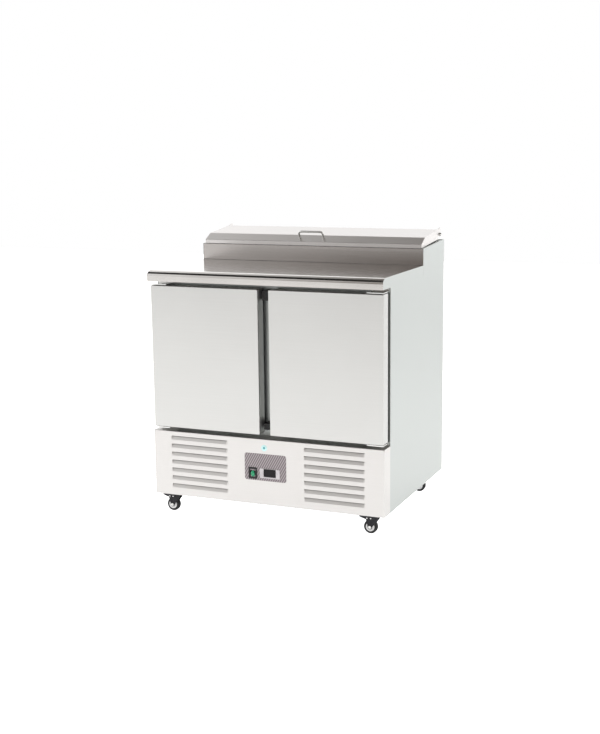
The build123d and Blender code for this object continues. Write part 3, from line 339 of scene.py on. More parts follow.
def spun(filled, centre, profile, axis="Y", count=40, index=0, close=False):
    """Turns a profile of (radius, distance along the axis) about an axis through centre."""
    loops = []
    for radius, along in profile:
        loop = []
        for i in range(count):
            a = 2 * pi * i / count
            u, v = max(radius, 1e-5) * cos(a), max(radius, 1e-5) * sin(a)
            offset = {"X": (along, u, v), "Y": (u, along, v), "Z": (u, v, along)}[axis]
            loop.append(tuple(c + o for c, o in zip(centre, offset)))
        loops.append(loop)
    if close:
        loops.append(loops[0])
    skin_loops(filled, loops, cap_start=not close, cap_end=not close, index=index)


def rounded_path(points, radius, steps=6):
    """A polyline with its inner corners rounded, in 2-D or 3-D."""
    out = [Vector(points[0])]
    for before, here, after in zip(points, points[1:], points[2:]):
        before, here, after = Vector(before), Vector(here), Vector(after)
        a, b = (before - here), (after - here)
        angle = a.angle(b)
        reach = min(radius / tan(angle / 2), a.length * 0.49, b.length * 0.49)
        start, end = here + a.normalized() * reach, here + b.normalized() * reach
        for i in range(steps + 1):
            t = i / steps
            out.append(start * (1 - t) ** 2 + here * 2 * t * (1 - t) + end * t ** 2)
    out.append(Vector(points[-1]))
    return out


def tube(filled, points, radius, count=14, index=0, closed=False):
    """A round rod along a 3-D path."""
    path = [Vector(p) for p in points]
    loops = []
    side = None
    for i, here in enumerate(path):
        if closed:
            ahead, behind = path[(i + 1) % len(path)], path[i - 1]
        else:
            ahead, behind = path[min(i + 1, len(path) - 1)], path[max(i - 1, 0)]
        along = (ahead - behind).normalized()
        if side is None:
            side = along.orthogonal().normalized()
        side = (side - along * side.dot(along)).normalized()
        up = along.cross(side)
        loops.append([here + radius * (side * cos(2 * pi * k / count) + up * sin(2 * pi * k / count))
                      for k in range(count)])
    if closed:
        loops.append(loops[0])
    skin_loops(filled, loops, cap_start=not closed, cap_end=not closed, index=index)


def prism(filled, outline, x0, x1, radius=0.0, steps=3, open_edges=(), index=0):
    """A solid of a YZ outline from x0 to x1, with rounded edges. open_edges are outline sides left open."""
    near = loop_of(filled, [(x0, y, z) for y, z in outline])
    far = loop_of(filled, [(x1, y, z) for y, z in outline])
    faces = [filled.faces.new(near), filled.faces.new(far[::-1])]
    count = len(outline)
    for i in range(count):
        if i not in open_edges:
            faces.append(filled.faces.new((near[i], far[i], far[(i + 1) % count], near[(i + 1) % count])))
    for face in faces:
        face.material_index = index
    bmesh.ops.recalc_face_normals(filled, faces=faces)
    if radius:
        filled.normal_update()
        sharp = [e for e in filled.edges if e.verts[0] in near + far and len(e.link_faces) == 2
                 and e.calc_face_angle(0) > radians(12)]
        bmesh.ops.bevel(filled, geom=sharp, offset=radius, segments=steps, profile=0.5, affect="EDGES",
                        clamp_overlap=True)


def slab(filled, lo, hi, radius, steps=3, index=0):
    """A block between two corners with rounded edges."""
    (x0, y0, z0), (x1, y1, z1) = lo, hi
    prism(filled, [(y0, z0), (y1, z0), (y1, z1), (y0, z1)], x0, x1, radius, steps, index=index)


# ================================================================ places, from the CAD
def lo_hi(node_name):
    lo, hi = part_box(node_name)
    return (lo.x, lo.y, lo.z), (hi.x, hi.y, hi.z)


(top_x0, top_y0, top_z0), (top_x1, _, top_z1) = lo_hi("worktop")
(_, side_y0, side_z0), (side_x1, side_y1, side_z1) = lo_hi("side_panel_right")
half = side_x1
(_, front, base_z), (_, plinth_back, panel_top) = lo_hi("grille_panel")
riser_y0, riser_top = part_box("riser_panel")[0].y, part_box("riser_panel")[1].z
edge_y = top_y0
worktop_top = top_z1
under = top_z0
sheet = 1.2 * mm
thin = 0.05 * mm


def folded(filled, outline, x0, x1, radius=2 * mm, index=0):
    """One bent sheet: an open YZ outline with rounded folds, drawn from x0 to x1."""
    bends = rounded_path([(0, y, z) for y, z in outline], radius)
    skin_loops(filled, [[(x, p.y, p.z) for p in bends] for x in (x0, x1)], closed=False, index=index)


# ================================================================ cabinet
def side_outline(high_fold=0.0):
    """The stepped side: face height at the front, riser height at the back."""
    return [(side_y0, side_z0), (side_y1, side_z0), (side_y1, side_z1), (riser_y0, riser_top),
            (riser_y0, under), (side_y0, under)]


def make_side(sign):
    def fill(filled):
        x = sign * half
        prism(filled, side_outline(), min(x, x - sign * sheet), max(x, x - sign * sheet), 0.5 * mm, 2)
        lean = (side_z1 - riser_top) / (side_y1 - riser_y0)
        start, end = riser_y0 + 2 * mm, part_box("back_panel")[0].y - 0.5 * mm
        tops = [(y, riser_top + lean * (y - riser_y0)) for y in (start, end)]
        outline = [tops[0], tops[1], (tops[1][0], tops[1][1] - sheet), (tops[0][0], tops[0][1] - sheet)]
        inner = x - sign * 22 * mm
        prism(filled, outline, min(x, inner) + thin, max(x, inner) - thin, 0.3 * mm, 1)
    return fill


for side, sign in (("left", -1), ("right", 1)):
    piece(f"side_sheet_{side}", make_side(sign), side_steel, "cabinet", (f"side_panel_{side}",))


def make_worktop(filled):
    """A folded tray whose front edge rolls over in one wide curve."""
    rise = (worktop_top - under) * 0.5
    roll = 29 * mm
    outline = [(edge_y, under), (edge_y, under + rise)]
    for i in range(1, 15):
        a = pi / 2 * i / 14
        outline.append((edge_y + roll * (1 - cos(a)), under + rise + (worktop_top - under - rise) * sin(a)))
    outline += [(riser_y0 - thin, worktop_top), (riser_y0 - thin, under)]
    prism(filled, outline, top_x0, top_x1, 1.6 * mm, 4, open_edges=(len(outline) - 1,))
    # Faces turned to the sides take the side sheets' tone, not the worktop's: the same steel toned for the light on
    # that side, painted light.
    filled.normal_update()
    for face in filled.faces:
        if abs(face.normal.x) > 0.6:
            face.material_index = 1


piece("worktop_tray", make_worktop, (top_steel, side_steel), "cabinet", ("worktop",),
      thickness=sheet)


def make_riser(filled):
    lo, hi = lo_hi("riser_panel")
    foot = worktop_top + 0.2 * mm
    well_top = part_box("pan_frame")[1].z
    folded(filled, [(riser_y0 - 7 * mm, foot), (riser_y0, foot), (riser_y0, riser_top),
                    (hi[1], riser_top), (hi[1], well_top)],
           lo[0], hi[0], 2.2 * mm)


piece("riser_sheet", make_riser, riser_steel, "cabinet", ("riser_panel",), thickness=sheet)


# Food pans are drawn from one sheet, with a flat rim that turns down at its edge.
def make_pans(filled):
    lo, hi = lo_hi("pans")
    pitch = 162 * mm
    count = round((hi[0] - lo[0]) / pitch)
    y, half_l = (lo[1] + hi[1]) / 2, (hi[1] - lo[1]) / 2
    half_w = pitch / 2 - 0.3 * mm
    for spot in range(count):
        x = (spot - (count - 1) / 2) * pitch
        rim = 10 * mm
        steps = [(-1.4 * mm, half_w, half_l, 18 * mm), (-0.2 * mm, half_w, half_l, 18 * mm),
                 (0, half_w - 0.8 * mm, half_l - 0.8 * mm, 17 * mm),
                 (0, half_w - rim + 2.5 * mm, half_l - rim + 2.5 * mm, 17 * mm),
                 (-0.8 * mm, half_w - rim + 0.7 * mm, half_l - rim + 0.7 * mm, 16 * mm),
                 (-2.6 * mm, half_w - rim, half_l - rim, 16 * mm),
                 (-140 * mm, half_w - rim - 5.6 * mm, half_l - rim - 5.6 * mm, 12 * mm),
                 (-147 * mm, half_w - rim - 8 * mm, half_l - rim - 8 * mm, 11 * mm),
                 (-149.4 * mm, half_w - rim - 15 * mm, half_l - rim - 15 * mm, 9 * mm)]
        rings(filled, (x, y, hi[2]), steps, "XY", cap_start=False, corner=6)


piece("food_pans", make_pans, pan_steel, "cabinet", ("pans",), thickness=0.8 * mm)


def make_mullion_blocks(filled):
    """Each block is moulded with shallow ribs across its front."""
    lo, hi = lo_hi("mullion_blocks")
    for z0, z1 in ((hi[2] - 35 * mm, hi[2]), (lo[2], lo[2] + 23 * mm)):
        slab(filled, (lo[0], lo[1] + 1.5 * mm, z0), (hi[0], hi[1], z1), 1.5 * mm)
        ribs = int((z1 - z0) / (5 * mm))
        for rib in range(ribs):
            z = z0 + (rib + 0.5) * (z1 - z0) / ribs
            slab(filled, (lo[0] + 2 * mm, lo[1], z - 1.1 * mm), (hi[0] - 2 * mm, lo[1] + 3 * mm, z + 1.1 * mm),
                 0.6 * mm, 2)


piece("door_stop_blocks", make_mullion_blocks, black_abs, "cabinet", ("mullion_blocks",))

# ================================================================ lower panel
louvre_rows = 7
louvre_h, louvre_w, louvre_pitch = 15 * mm, 229 * mm, 30.2 * mm
louvre_x, louvre_drop, louvre_depth = 264 * mm, 17 * mm, 8 * mm
panel_bend = 2.2 * mm


def make_lower_panel(filled):
    """One sheet: louvres pressed in and slit along their upper edges, all four sides folded back."""
    xs = [-half + panel_bend]
    for bank in (-louvre_x, louvre_x):
        xs += [bank - louvre_w / 2, bank + louvre_w / 2]
    xs.append(half - panel_bend)
    zs = [base_z + panel_bend]
    for row in reversed(range(louvre_rows)):
        high = panel_top - louvre_drop - row * louvre_pitch
        zs += [high - louvre_h, high]
    zs.append(panel_top - panel_bend)
    for i, (x0, x1) in enumerate(zip(xs, xs[1:])):
        for j, (z0, z1) in enumerate(zip(zs, zs[1:])):
            if i in (1, 3) and j % 2 == 1:
                louvre(filled, x0, x1, z0, z1)
            else:
                filled.faces.new(loop_of(filled, [(x0, front, z0), (x1, front, z0),
                                                  (x1, front, z1), (x0, front, z1)]))
    loops = []
    bend = [(front + panel_bend * (1 - cos(pi / 2 * i / 5)), panel_bend * sin(pi / 2 * i / 5)) for i in range(6)]
    for y, grow in bend + [(plinth_back, panel_bend)]:
        wide = [xs[0] - grow] + xs[1:-1] + [xs[-1] + grow]
        high = [zs[0] - grow] + zs[1:-1] + [zs[-1] + grow]
        loops.append([(x, y, high[0]) for x in wide] + [(wide[-1], y, z) for z in high[1:]]
                     + [(x, y, high[-1]) for x in reversed(wide[:-1])]
                     + [(wide[0], y, z) for z in reversed(high[1:-1])])
    skin_loops(filled, loops)


def louvre(filled, x0, x1, z0, z1):
    """A vane that starts flush at its foot, leans in to its free upper edge and closes at both ends."""
    close = 6 * mm
    across = [x0 + close * t for t in (0, 0.2, 0.45, 0.7, 1)]
    across += [x1 - (x - x0) for x in reversed(across)]
    up = (0, 0.2, 0.45, 0.65, 0.8, 0.92, 1)
    grid = []
    for t in up:
        row = []
        for x in across:
            reach = min(1, min(x - x0, x1 - x) / close)
            deep = louvre_depth * (0.6 * t + 0.4 * t ** 5) * sin(reach * pi / 2) ** 0.7
            row.append(filled.verts.new((x, front + deep, z0 + t * (z1 - z0))))
        grid.append(row)
    for low, high in zip(grid, grid[1:]):
        for k in range(len(across) - 1):
            filled.faces.new((low[k], low[k + 1], high[k + 1], high[k]))


piece("louvred_panel", make_lower_panel, panel_steel, "cabinet", ("grille_panel",),
      thickness=sheet, even=False)

plate_lo, plate_hi = lo_hi("control_plate")
plate_face = plate_lo[1]
plate_mid = ((plate_lo[0] + plate_hi[0]) / 2, (plate_lo[2] + plate_hi[2]) / 2)
plate_half = ((plate_hi[0] - plate_lo[0]) / 2, (plate_hi[2] - plate_lo[2]) / 2)


def make_plate(filled):
    rings(filled, (plate_mid[0], plate_face, plate_mid[1]),
          eased(0.4 * mm, *plate_half, 7.6 * mm) + [(front - plate_face, *plate_half, 8 * mm)])


piece("control_film", make_plate, film, "cabinet", ("control_plate",))


def make_switch_bezel(filled):
    """A raised frame around the rocker's well."""
    lo, hi = lo_hi("switch_housing")
    x, z = (lo[0] + hi[0]) / 2, (lo[2] + hi[2]) / 2
    w, h = (hi[0] - lo[0]) / 2, (hi[2] - lo[2]) / 2
    y = lo[1]
    outer = eased(1 * mm, w, h, 3 * mm)
    steps = [(hi[1] - y, w - 3.3 * mm, h - 3.3 * mm, 1 * mm),
             (plate_face - y, w - 3.3 * mm, h - 3.3 * mm, 1 * mm),
             (plate_face - y, w, h, 4 * mm)] + outer[::-1]
    steps += [(0, w - 5.4 * mm, h - 5.4 * mm, 2 * mm), (0.6 * mm, w - 6.2 * mm, h - 6.2 * mm, 1.6 * mm),
              (1.2 * mm, w - 6.6 * mm, h - 6.7 * mm, 1.2 * mm), (14 * mm, w - 6.6 * mm, h - 6.7 * mm, 1.2 * mm)]
    rings(filled, (x, y, z), steps)


piece("switch_bezel", make_switch_bezel, black_abs, "cabinet", ("switch_housing",))


rocker_lo, rocker_hi = lo_hi("switch_rocker")
switch_lo, switch_hi = lo_hi("switch_housing")
switch_z = (switch_lo[2] + switch_hi[2]) / 2
rocker_y, rocker_lean = plate_face + 3.5 * mm, radians(7)


def leaning(y, z):
    """A point of the rocker's section, turned to its off side."""
    return (rocker_y + y * cos(rocker_lean) - z * sin(rocker_lean),
            switch_z + y * sin(rocker_lean) + z * cos(rocker_lean))


def make_rocker(filled):
    """The rocker's body: a shallow bulge in front and a smaller one behind. Its near-black colour is painted shade
    for the rocker's upper half, which leans back out of the light.
    """
    half_h, bulge, hollow = 12.5 * mm, 6.2 * mm, 4.6 * mm
    section = []
    for depth, turn in ((-bulge, 1), (hollow, -1)):
        for i in range(14):
            t = -1 + 2 * i / 14
            section.append((depth * (1 - t * t), turn * t * half_h))
    prism(filled, [leaning(y, z) for y, z in section], rocker_lo[0], rocker_hi[0], 0.9 * mm, 3)


def make_rocker_lens(filled):
    """An egg-shaped lens over the lower part of the rocker; its faint green glow is painted light."""
    x = (rocker_lo[0] + rocker_hi[0]) / 2
    wide, tall, deep, drop = (rocker_hi[0] - rocker_lo[0]) / 2 - 0.2 * mm, 12.6 * mm, 9.2 * mm, -2.4 * mm
    loops = []
    for k in range(1, 9):
        a = pi / 2 * k / 8
        loop = []
        for i in range(36):
            turn = 2 * pi * i / 36
            y, z = leaning(-deep * cos(a) - 0.4 * mm, drop + tall * sin(a) * sin(turn))
            loop.append((x + wide * sin(a) * cos(turn), y, z))
        loops.append(loop)
    skin_loops(filled, loops, cap_start=True, cap_end=True)


piece("rocker_body", make_rocker, rocker_shade_black, "rocker", ("switch_rocker",))
piece("rocker_lens", make_rocker_lens, green_lens, "rocker")

thermo_lo, thermo_hi = lo_hi("thermostat")
thermo_x, thermo_z = (thermo_lo[0] + thermo_hi[0]) / 2, (thermo_lo[2] + thermo_hi[2]) / 2
window_half = (24 * mm, 13.5 * mm)


def make_thermostat(filled):
    """The moulded case: a rounded bezel with a sunk window and a body behind the panel."""
    w, h = (thermo_hi[0] - thermo_lo[0]) / 2, (thermo_hi[2] - thermo_lo[2]) / 2
    y = thermo_lo[1]
    steps = [(thermo_hi[1] - y, w - 3.3 * mm, h - 3.3 * mm, 1 * mm),
             (plate_face - y, w - 3.3 * mm, h - 3.3 * mm, 1 * mm),
             (plate_face - y, w, h, 3 * mm)] + eased(1 * mm, w, h, 2 * mm)[::-1]
    steps += [(0, window_half[0] + 0.3 * mm, window_half[1] + 0.3 * mm, 1.4 * mm),
              (0.3 * mm, window_half[0], window_half[1], 1.2 * mm),
              (1 * mm, window_half[0], window_half[1], 1.2 * mm)]
    rings(filled, (thermo_x, y, thermo_z), steps)


piece("thermostat_case", make_thermostat, grey_abs, "cabinet", ("thermostat",))


def make_window(filled):
    """A flat lens that lies in the case's face and leaves a wider border under it."""
    w, h = 23.6 * mm, 14.5 * mm
    rings(filled, (thermo_x, thermo_lo[1] - 0.3 * mm, thermo_z + 2.5 * mm),
          eased(0.4 * mm, w, h, 0.8 * mm) + [(1 * mm, w, h, 1.2 * mm)])


piece("display_window", make_window, window_tint, "cabinet")


def make_key(side):
    def fill(filled):
        lo, hi = lo_hi(f"thermostat_key_{side}")
        x, z, r = (lo[0] + hi[0]) / 2, (lo[2] + hi[2]) / 2, (hi[0] - lo[0]) / 2
        dome = [(0, 0.0), (r * 0.45, 0.06 * mm), (r * 0.75, 0.2 * mm),
                (r * 0.93, 0.5 * mm), (r, 0.9 * mm), (r, 3.1 * mm)]
        spun(filled, (x, lo[1], z), dome, "Y", 28)
    return fill


for side in ("left", "right"):
    piece(f"set_key_{side}", make_key(side), grey_abs,
          f"key_{side}", (f"thermostat_key_{side}",))


def make_badge(filled):
    """A plain domed disc stuck to the panel."""
    profile = [(0, -1.5 * mm), (4.6 * mm, -1.38 * mm), (4.7 * mm, -1.37 * mm),
               (8 * mm, -1.05 * mm), (10.8 * mm, -0.5 * mm),
               (11.6 * mm, 0.0)]
    middle = (-3.5 * mm, front, panel_top - 32 * mm)
    spun(filled, middle, profile, "Y", 48)
    for face in filled.faces:
        place = face.calc_center_median()
        if hypot(place.x - middle[0], place.z - middle[2]) < 4.6 * mm:
            face.material_index = 1


piece("panel_disc", make_badge, (badge_resin, badge_core), "cabinet")

# ================================================================ doors
seam = 12 * mm


def make_door_skin(side):
    def fill(filled):
        lo, hi = lo_hi(f"door_{side}_skin")
        centre = ((lo[0] + hi[0]) / 2, lo[1], (lo[2] + hi[2]) / 2)
        w, h = (hi[0] - lo[0]) / 2, (hi[2] - lo[2]) / 2
        bend, corner = 2.6 * mm, 1.2 * mm
        steps = eased(bend, w, h, corner)
        steps += [(seam, w, h, corner + bend), (seam + 0.3 * mm, w - 0.9 * mm, h - 0.9 * mm, corner + bend),
                  (seam + 1.4 * mm, w - 0.9 * mm, h - 0.9 * mm, corner + bend),
                  (seam + 1.7 * mm, w, h, corner + bend), (hi[1] - lo[1], w, h, corner + bend)]
        rings(filled, centre, steps, cap_end=False, corner=4)
    return fill


def make_gasket(side):
    """A soft bellows with a magnet strip in its face."""
    def fill(filled):
        lo, hi = lo_hi(f"door_{side}_gasket")
        centre = ((lo[0] + hi[0]) / 2, lo[1], (lo[2] + hi[2]) / 2)
        w, h, deep, wide = (hi[0] - lo[0]) / 2, (hi[2] - lo[2]) / 2, hi[1] - lo[1], 16 * mm
        fold = [(0, 0), (2.5, 0), (4, 2.6), (5.5, 0.4), (7, 2.2), (8.5, 0), (14, 0), (15, 0.9)]
        outer = [(y * mm * deep / (15.2 * mm), inset * mm) for y, inset in fold]
        section = outer + [(y, wide - inset) for y, inset in reversed(outer)]
        rings(filled, centre, [(y, w - inset, h - inset, 3 * mm) for y, inset in section],
              corner=3, close=True)
    return fill


for side in ("left", "right"):
    piece(f"door_sheet_{side}", make_door_skin(side), steel, f"door_{side}", (f"door_{side}_skin",),
          thickness=sheet)
    piece(f"door_seal_{side}", make_gasket(side), seal_rubber, f"door_{side}",
          (f"door_{side}_gasket",))

# ================================================================ lid
lid_lo, lid_hi = lo_hi("lid_skin")
lid_core_hi = lo_hi("lid_core")[1]
lid_front, lid_back = lid_lo[1], lid_core_hi[1] + sheet
lid_low, lid_top = lid_lo[2], lid_core_hi[2] + sheet
lid_lip, lid_fold, lid_rise = lid_low + 14 * mm, lid_front + 42 * mm, lid_low + 36 * mm
lid_axis = next(Vector(j["pos_m"]) for j in frame["joints"] if j["name"] == "lid_hinge")


def make_lid(filled):
    """One folded sheet: front lip, slanted face, gently rising top and back edge, with its ends closed."""
    back_low = lid_lo[2] + 16.2 * mm
    bends = rounded_path([(0, lid_front, lid_low), (0, lid_front, lid_lip),
                          (0, lid_fold, lid_rise), (0, lid_back, lid_top),
                          (0, lid_back, back_low)], 3 * mm, 5)
    outline = [(p.y, p.z) for p in bends]
    prism(filled, outline, lid_lo[0], lid_hi[0], 0.8 * mm, 3, open_edges=(len(outline) - 1,))


def make_lid_tabs(filled):
    for sign in (-1, 1):
        outer = sign * (lid_hi[0] - thin)
        inner = outer - sign * 2.9 * mm
        y, z = lid_axis.y, lid_axis.z
        outline = [(lid_back - 16 * mm, z - 9 * mm), (y + 8 * mm, z - 9 * mm), (y + 15 * mm, lid_top + 5 * mm),
                   (y + 4 * mm, lid_top + 5 * mm), (lid_back - 16 * mm, lid_top - 4 * mm)]
        prism(filled, outline, min(outer, inner), max(outer, inner), 0.6 * mm, 2)


piece("lid_sheet", make_lid, lid_steel, "lid", ("lid_skin",), thickness=sheet)
piece("lid_tabs", make_lid_tabs, lid_steel, "lid")


def make_handle(filled):
    """A bent rod, welded on with a small collar at each foot."""
    lo, hi = lo_hi("lid_handle")
    radius = 4 * mm
    slope = atan2(22, 42)
    out = Vector((0, -sin(slope), cos(slope)))
    foot = Vector((0, lid_front + 21 * mm, lid_low + 25 * mm))
    reach = hi[0] - radius
    corners = [foot + Vector((-reach, 0, 0)), foot + out * 30 * mm + Vector((-reach, 0, 0)),
               foot + out * 30 * mm + Vector((reach, 0, 0)), foot + Vector((reach, 0, 0))]
    tube(filled, rounded_path(corners, 12 * mm, 10), radius, 20)
    for sign in (-1, 1):
        base = foot + Vector((sign * reach, 0, 0))
        tube(filled, [base + out * 0.2 * mm, base + out * 1.4 * mm], radius * 1.35, 20)


piece("lid_pull", make_handle, bright_steel, "lid", ("lid_handle",))


# ================================================================ casters
def make_wheel(spot):
    """A soft tread moulded around a nylon hub with a raised boss and a web."""
    def fill(filled):
        lo, hi = lo_hi(f"wheel_{spot}")
        centre = ((lo[0] + hi[0]) / 2, (lo[1] + hi[1]) / 2, (lo[2] + hi[2]) / 2)
        r, w = (hi[2] - lo[2]) / 2, (hi[1] - lo[1]) / 2
        bore = 4.1 * mm
        tread = [(r * 0.64, -w), (r * 0.86, -w), (r * 0.95, -w * 0.86),
                 (r * 0.99, -w * 0.6), (r, -w * 0.2), (r, w * 0.2),
                 (r * 0.99, w * 0.6), (r * 0.95, w * 0.86), (r * 0.86, w), (r * 0.64, w)]
        hub = [(bore, -w * 0.98), (r * 0.3, -w * 0.98), (r * 0.33, -w * 0.9),
               (r * 0.36, -w * 0.7), (r * 0.44, -w * 0.7),
               (r * 0.48, -w * 0.95), (r * 0.62, -w * 0.98), (r * 0.64, -w)]
        hub_back = [(radius, -along) for radius, along in reversed(hub)]
        spun(filled, centre, tread, "Y", 56, close=False)
        faces = len(filled.faces)
        spun(filled, centre, hub + hub_back, "Y", 40, index=1, close=True)
        filled.faces.ensure_lookup_table()
        for face in list(filled.faces)[:faces]:
            if len(face.verts) > 4:
                filled.faces.remove(face)
    return fill


for spot in ("front_left", "front_right", "back_left", "back_right"):
    piece(f"caster_wheel_{spot}", make_wheel(spot), (tread_rubber, hub_nylon), f"wheel_{spot}",
          (f"wheel_{spot}",))


def make_fork(spot):
    """A pressed fork: a dished crown over the ball race and two tapering cheeks around the wheel."""
    def fill(filled):
        lo, hi = lo_hi(f"caster_fork_{spot}")
        wheel_lo, wheel_hi = lo_hi(f"wheel_{spot}")
        hub = ((wheel_lo[0] + wheel_hi[0]) / 2, (wheel_lo[1] + wheel_hi[1]) / 2,
               (wheel_lo[2] + wheel_hi[2]) / 2)
        stem = hub[0] + 16 * mm
        top, cheek = hi[2], 2 * mm
        inner = (wheel_hi[1] - wheel_lo[1]) / 2 + 1 * mm
        pivot = 57 * mm
        crown = [(5.1 * mm, 0), (18.5 * mm, 0), (20 * mm, -1 * mm),
                 (20 * mm, -2.2 * mm), (5.1 * mm, -2.2 * mm)]
        spun(filled, (stem, hub[1], top), crown, "Z", 40, close=True)
        for sign in (-1, 1):
            y0 = hub[1] + sign * inner
            y1 = y0 + sign * cheek
            foot = [(hub[0] + 8 * mm * cos(a), hub[2] + 8 * mm * sin(a))
                    for a in (radians(180 + 20 * k) for k in range(10))]
            shape = [(stem + 15.5 * mm, top - 0.6 * mm), (stem - 30 * mm, top - 4 * mm),
                     (stem - 32 * mm, top - 7 * mm),
                     (stem - 31.5 * mm, pivot - 4 * mm)] + foot + [(stem + 13 * mm, pivot - 3 * mm)]
            near = loop_of(filled, [(x, y0, z) for x, z in shape])
            far = loop_of(filled, [(x, y1, z) for x, z in shape])
            faces = [filled.faces.new(near), filled.faces.new(far[::-1])]
            for i in range(len(shape)):
                j = (i + 1) % len(shape)
                faces.append(filled.faces.new((near[i], far[i], far[j], near[j])))
            outer = hub[1] + sign * (inner + cheek)
            nut = [(0, 0), (6.2 * mm, 0), (6.2 * mm, 2.6 * mm), (5.4 * mm, 3.3 * mm), (3.2 * mm, 3.4 * mm),
                   (3 * mm, 4.4 * mm), (0, 4.6 * mm)]
            spun(filled, (hub[0], outer, hub[2]), [(r, sign * along) for r, along in nut], "Y", 6, index=1)
            rivet = [(0, 0), (2.6 * mm, 0), (2.4 * mm, 0.7 * mm), (1.4 * mm, 1.1 * mm), (0, 1.2 * mm)]
            for back_by in (13 * mm, 27 * mm):
                spun(filled, (stem - back_by, outer, pivot),
                     [(r, sign * along) for r, along in rivet], "Y", 16, index=1)
        slab(filled, (stem - 24 * mm, hub[1] - inner - cheek + thin, top - 2 * mm),
             (stem + 14 * mm, hub[1] + inner + cheek - thin, top - 0.2 * mm), 0.5 * mm, 2)
    return fill


def make_pedal(spot):
    """A curved tread plate with cross ridges, and the shoe that bears on the wheel."""
    def fill(filled):
        lo, hi = lo_hi(f"brake_pedal_{spot}")
        y0, y1 = lo[1], hi[1]
        pivot = (hi[0] - 5 * mm, 57 * mm)
        reach = hi[0] - 5 * mm - lo[0]
        count = 10
        top, low = [], []
        for k in range(count + 1):
            t = k / count
            x = pivot[0] - 1 * mm - t * (reach - 1 * mm)
            z = pivot[1] + 3.4 * mm + 1.3 * mm * t * t
            top.append((x, z))
            low.append((x + 0.4 * mm, z - 1.6 * mm - 7.4 * mm * (1 - t ** 1.6)))
        shape = top + low[::-1]
        near = loop_of(filled, [(x, y0, z) for x, z in shape])
        far = loop_of(filled, [(x, y1, z) for x, z in shape])
        for i in range(len(shape)):
            j = (i + 1) % len(shape)
            filled.faces.new((near[i], far[i], far[j], near[j]))
        filled.faces.new(near)
        filled.faces.new(far[::-1])
        for k in range(5, 9):
            x, z = top[k]
            slab(filled, (x - 0.8 * mm, y0 + 2 * mm, z - 1 * mm), (x + 0.8 * mm, y1 - 2 * mm, z + 0.7 * mm),
                 0.3 * mm, 2)
        spun(filled, (pivot[0], (y0 + y1) / 2, pivot[1]),
             [(2.6 * mm, y0 - (y0 + y1) / 2), (4.8 * mm, y0 - (y0 + y1) / 2),
             (4.8 * mm, y1 - (y0 + y1) / 2), (2.6 * mm, y1 - (y0 + y1) / 2)], "Y", 24, close=True)
    return fill


for spot in ("front_left", "front_right", "back_left", "back_right"):
    piece(f"fork_{spot}", make_fork(spot), (black_zinc, bright_steel), f"caster_{spot}",
          (f"caster_fork_{spot}",))
for spot in ("front_left", "front_right"):
    piece(f"pedal_{spot}", make_pedal(spot), black_zinc,
          f"pedal_{spot}", (f"brake_pedal_{spot}",))

# ================================================================ carried-over CAD parts
finishes = {
    side_steel: ("back_panel", "face_frame", "pan_frame", "pan_dividers", "evaporator_cover", "shelf_rails"),
    zinc: ("base_tray", "condenser_shroud"),
    liner_metal: ("inner_liner", "door_left_liner", "door_right_liner", "lid_liner"),
    foam: ("foam_insulation", "door_left_core", "door_right_core", "lid_core"),
    bright_steel: ("door_hinges", "lid_hinges", "screws"),
    black_zinc: ("caster_plates",),
    black_abs: ("power_inlet", "condenser_fan", "evaporator_fan"),
    black_enamel: ("compressor",),
    fin_metal: ("condenser_coil", "evaporator_coil"),
    copper: ("refrigerant_pipes",),
    grey_abs: ("drip_tray",),
    coated_wire: ("shelf_left", "shelf_right"),
    seal_rubber: ("lid_gasket",),
}
for made, names in finishes.items():
    for name in names:
        dress(name, made)


# ================================================================ floor, light and camera
def floor_mesh(filled):
    size = 9.0
    filled.faces.new(loop_of(filled, [(-size, -size, 0), (size, -size, 0),
                                      (size, size, 0), (-size, size, 0)]))


floor_paint, floor_tree, floor_shader = material("matt_white_paint", Roughness=0.7)
floor_shader.inputs["Emission Color"].default_value = (1, 1, 1, 1)
floor_bounce = 0.62
seen_by_camera = add(floor_tree, "ShaderNodeLightPath")
glow = add(floor_tree, "ShaderNodeMapRange", {"Value": (seen_by_camera, "Is Camera Ray"),
                                              "To Min": floor_bounce, "To Max": 1.0})
floor_tree.links.new(glow.outputs["Result"], floor_shader.inputs["Emission Strength"])
speckle = grain(floor_tree, (1, 1, 1), 300 * mm, 2.0)
floor_tint = add(floor_tree, "ShaderNodeValToRGB", {"Fac": (speckle, "Fac")},
                 [(0.3, colour("f4f4f4")), (0.7, colour("fafafa"))])
floor_tree.links.new(floor_tint.outputs["Color"], floor_shader.inputs["Base Color"])
filled = bmesh.new()
floor_mesh(filled)
floor_data = bpy.data.meshes.new("floor")
filled.to_mesh(floor_data)
filled.free()
floor_data.materials.append(floor_paint)
floor = bpy.data.objects.new("floor", floor_data)
bpy.context.scene.collection.objects.link(floor)


def area_light(name, place, target, size, power, tint="ffffff"):
    data = bpy.data.lights.new(name, "AREA")
    data.shape = "RECTANGLE"
    data.size, data.size_y = size
    data.energy = power
    data.color = colour(tint)[:3]
    lamp = bpy.data.objects.new(name, data)
    lamp.location = place
    lamp.visible_glossy = False
    lamp.rotation_euler = (Vector(target) - Vector(place)).to_track_quat("-Z", "Y").to_euler()
    bpy.context.scene.collection.objects.link(lamp)
    return lamp


area_light("softbox_left", (-3.4, -3.0, 2.6), (0, 0, 0.5), (2.6, 2.6), 65)
area_light("softbox_right", (4.2, -0.6, 2.6), (0.3, 0, 0.5), (2.4, 2.4), 55)
area_light("softbox_overhead", (0, -1.0, 4.2), (0, -0.2, 0), (3.4, 3.4), 60)

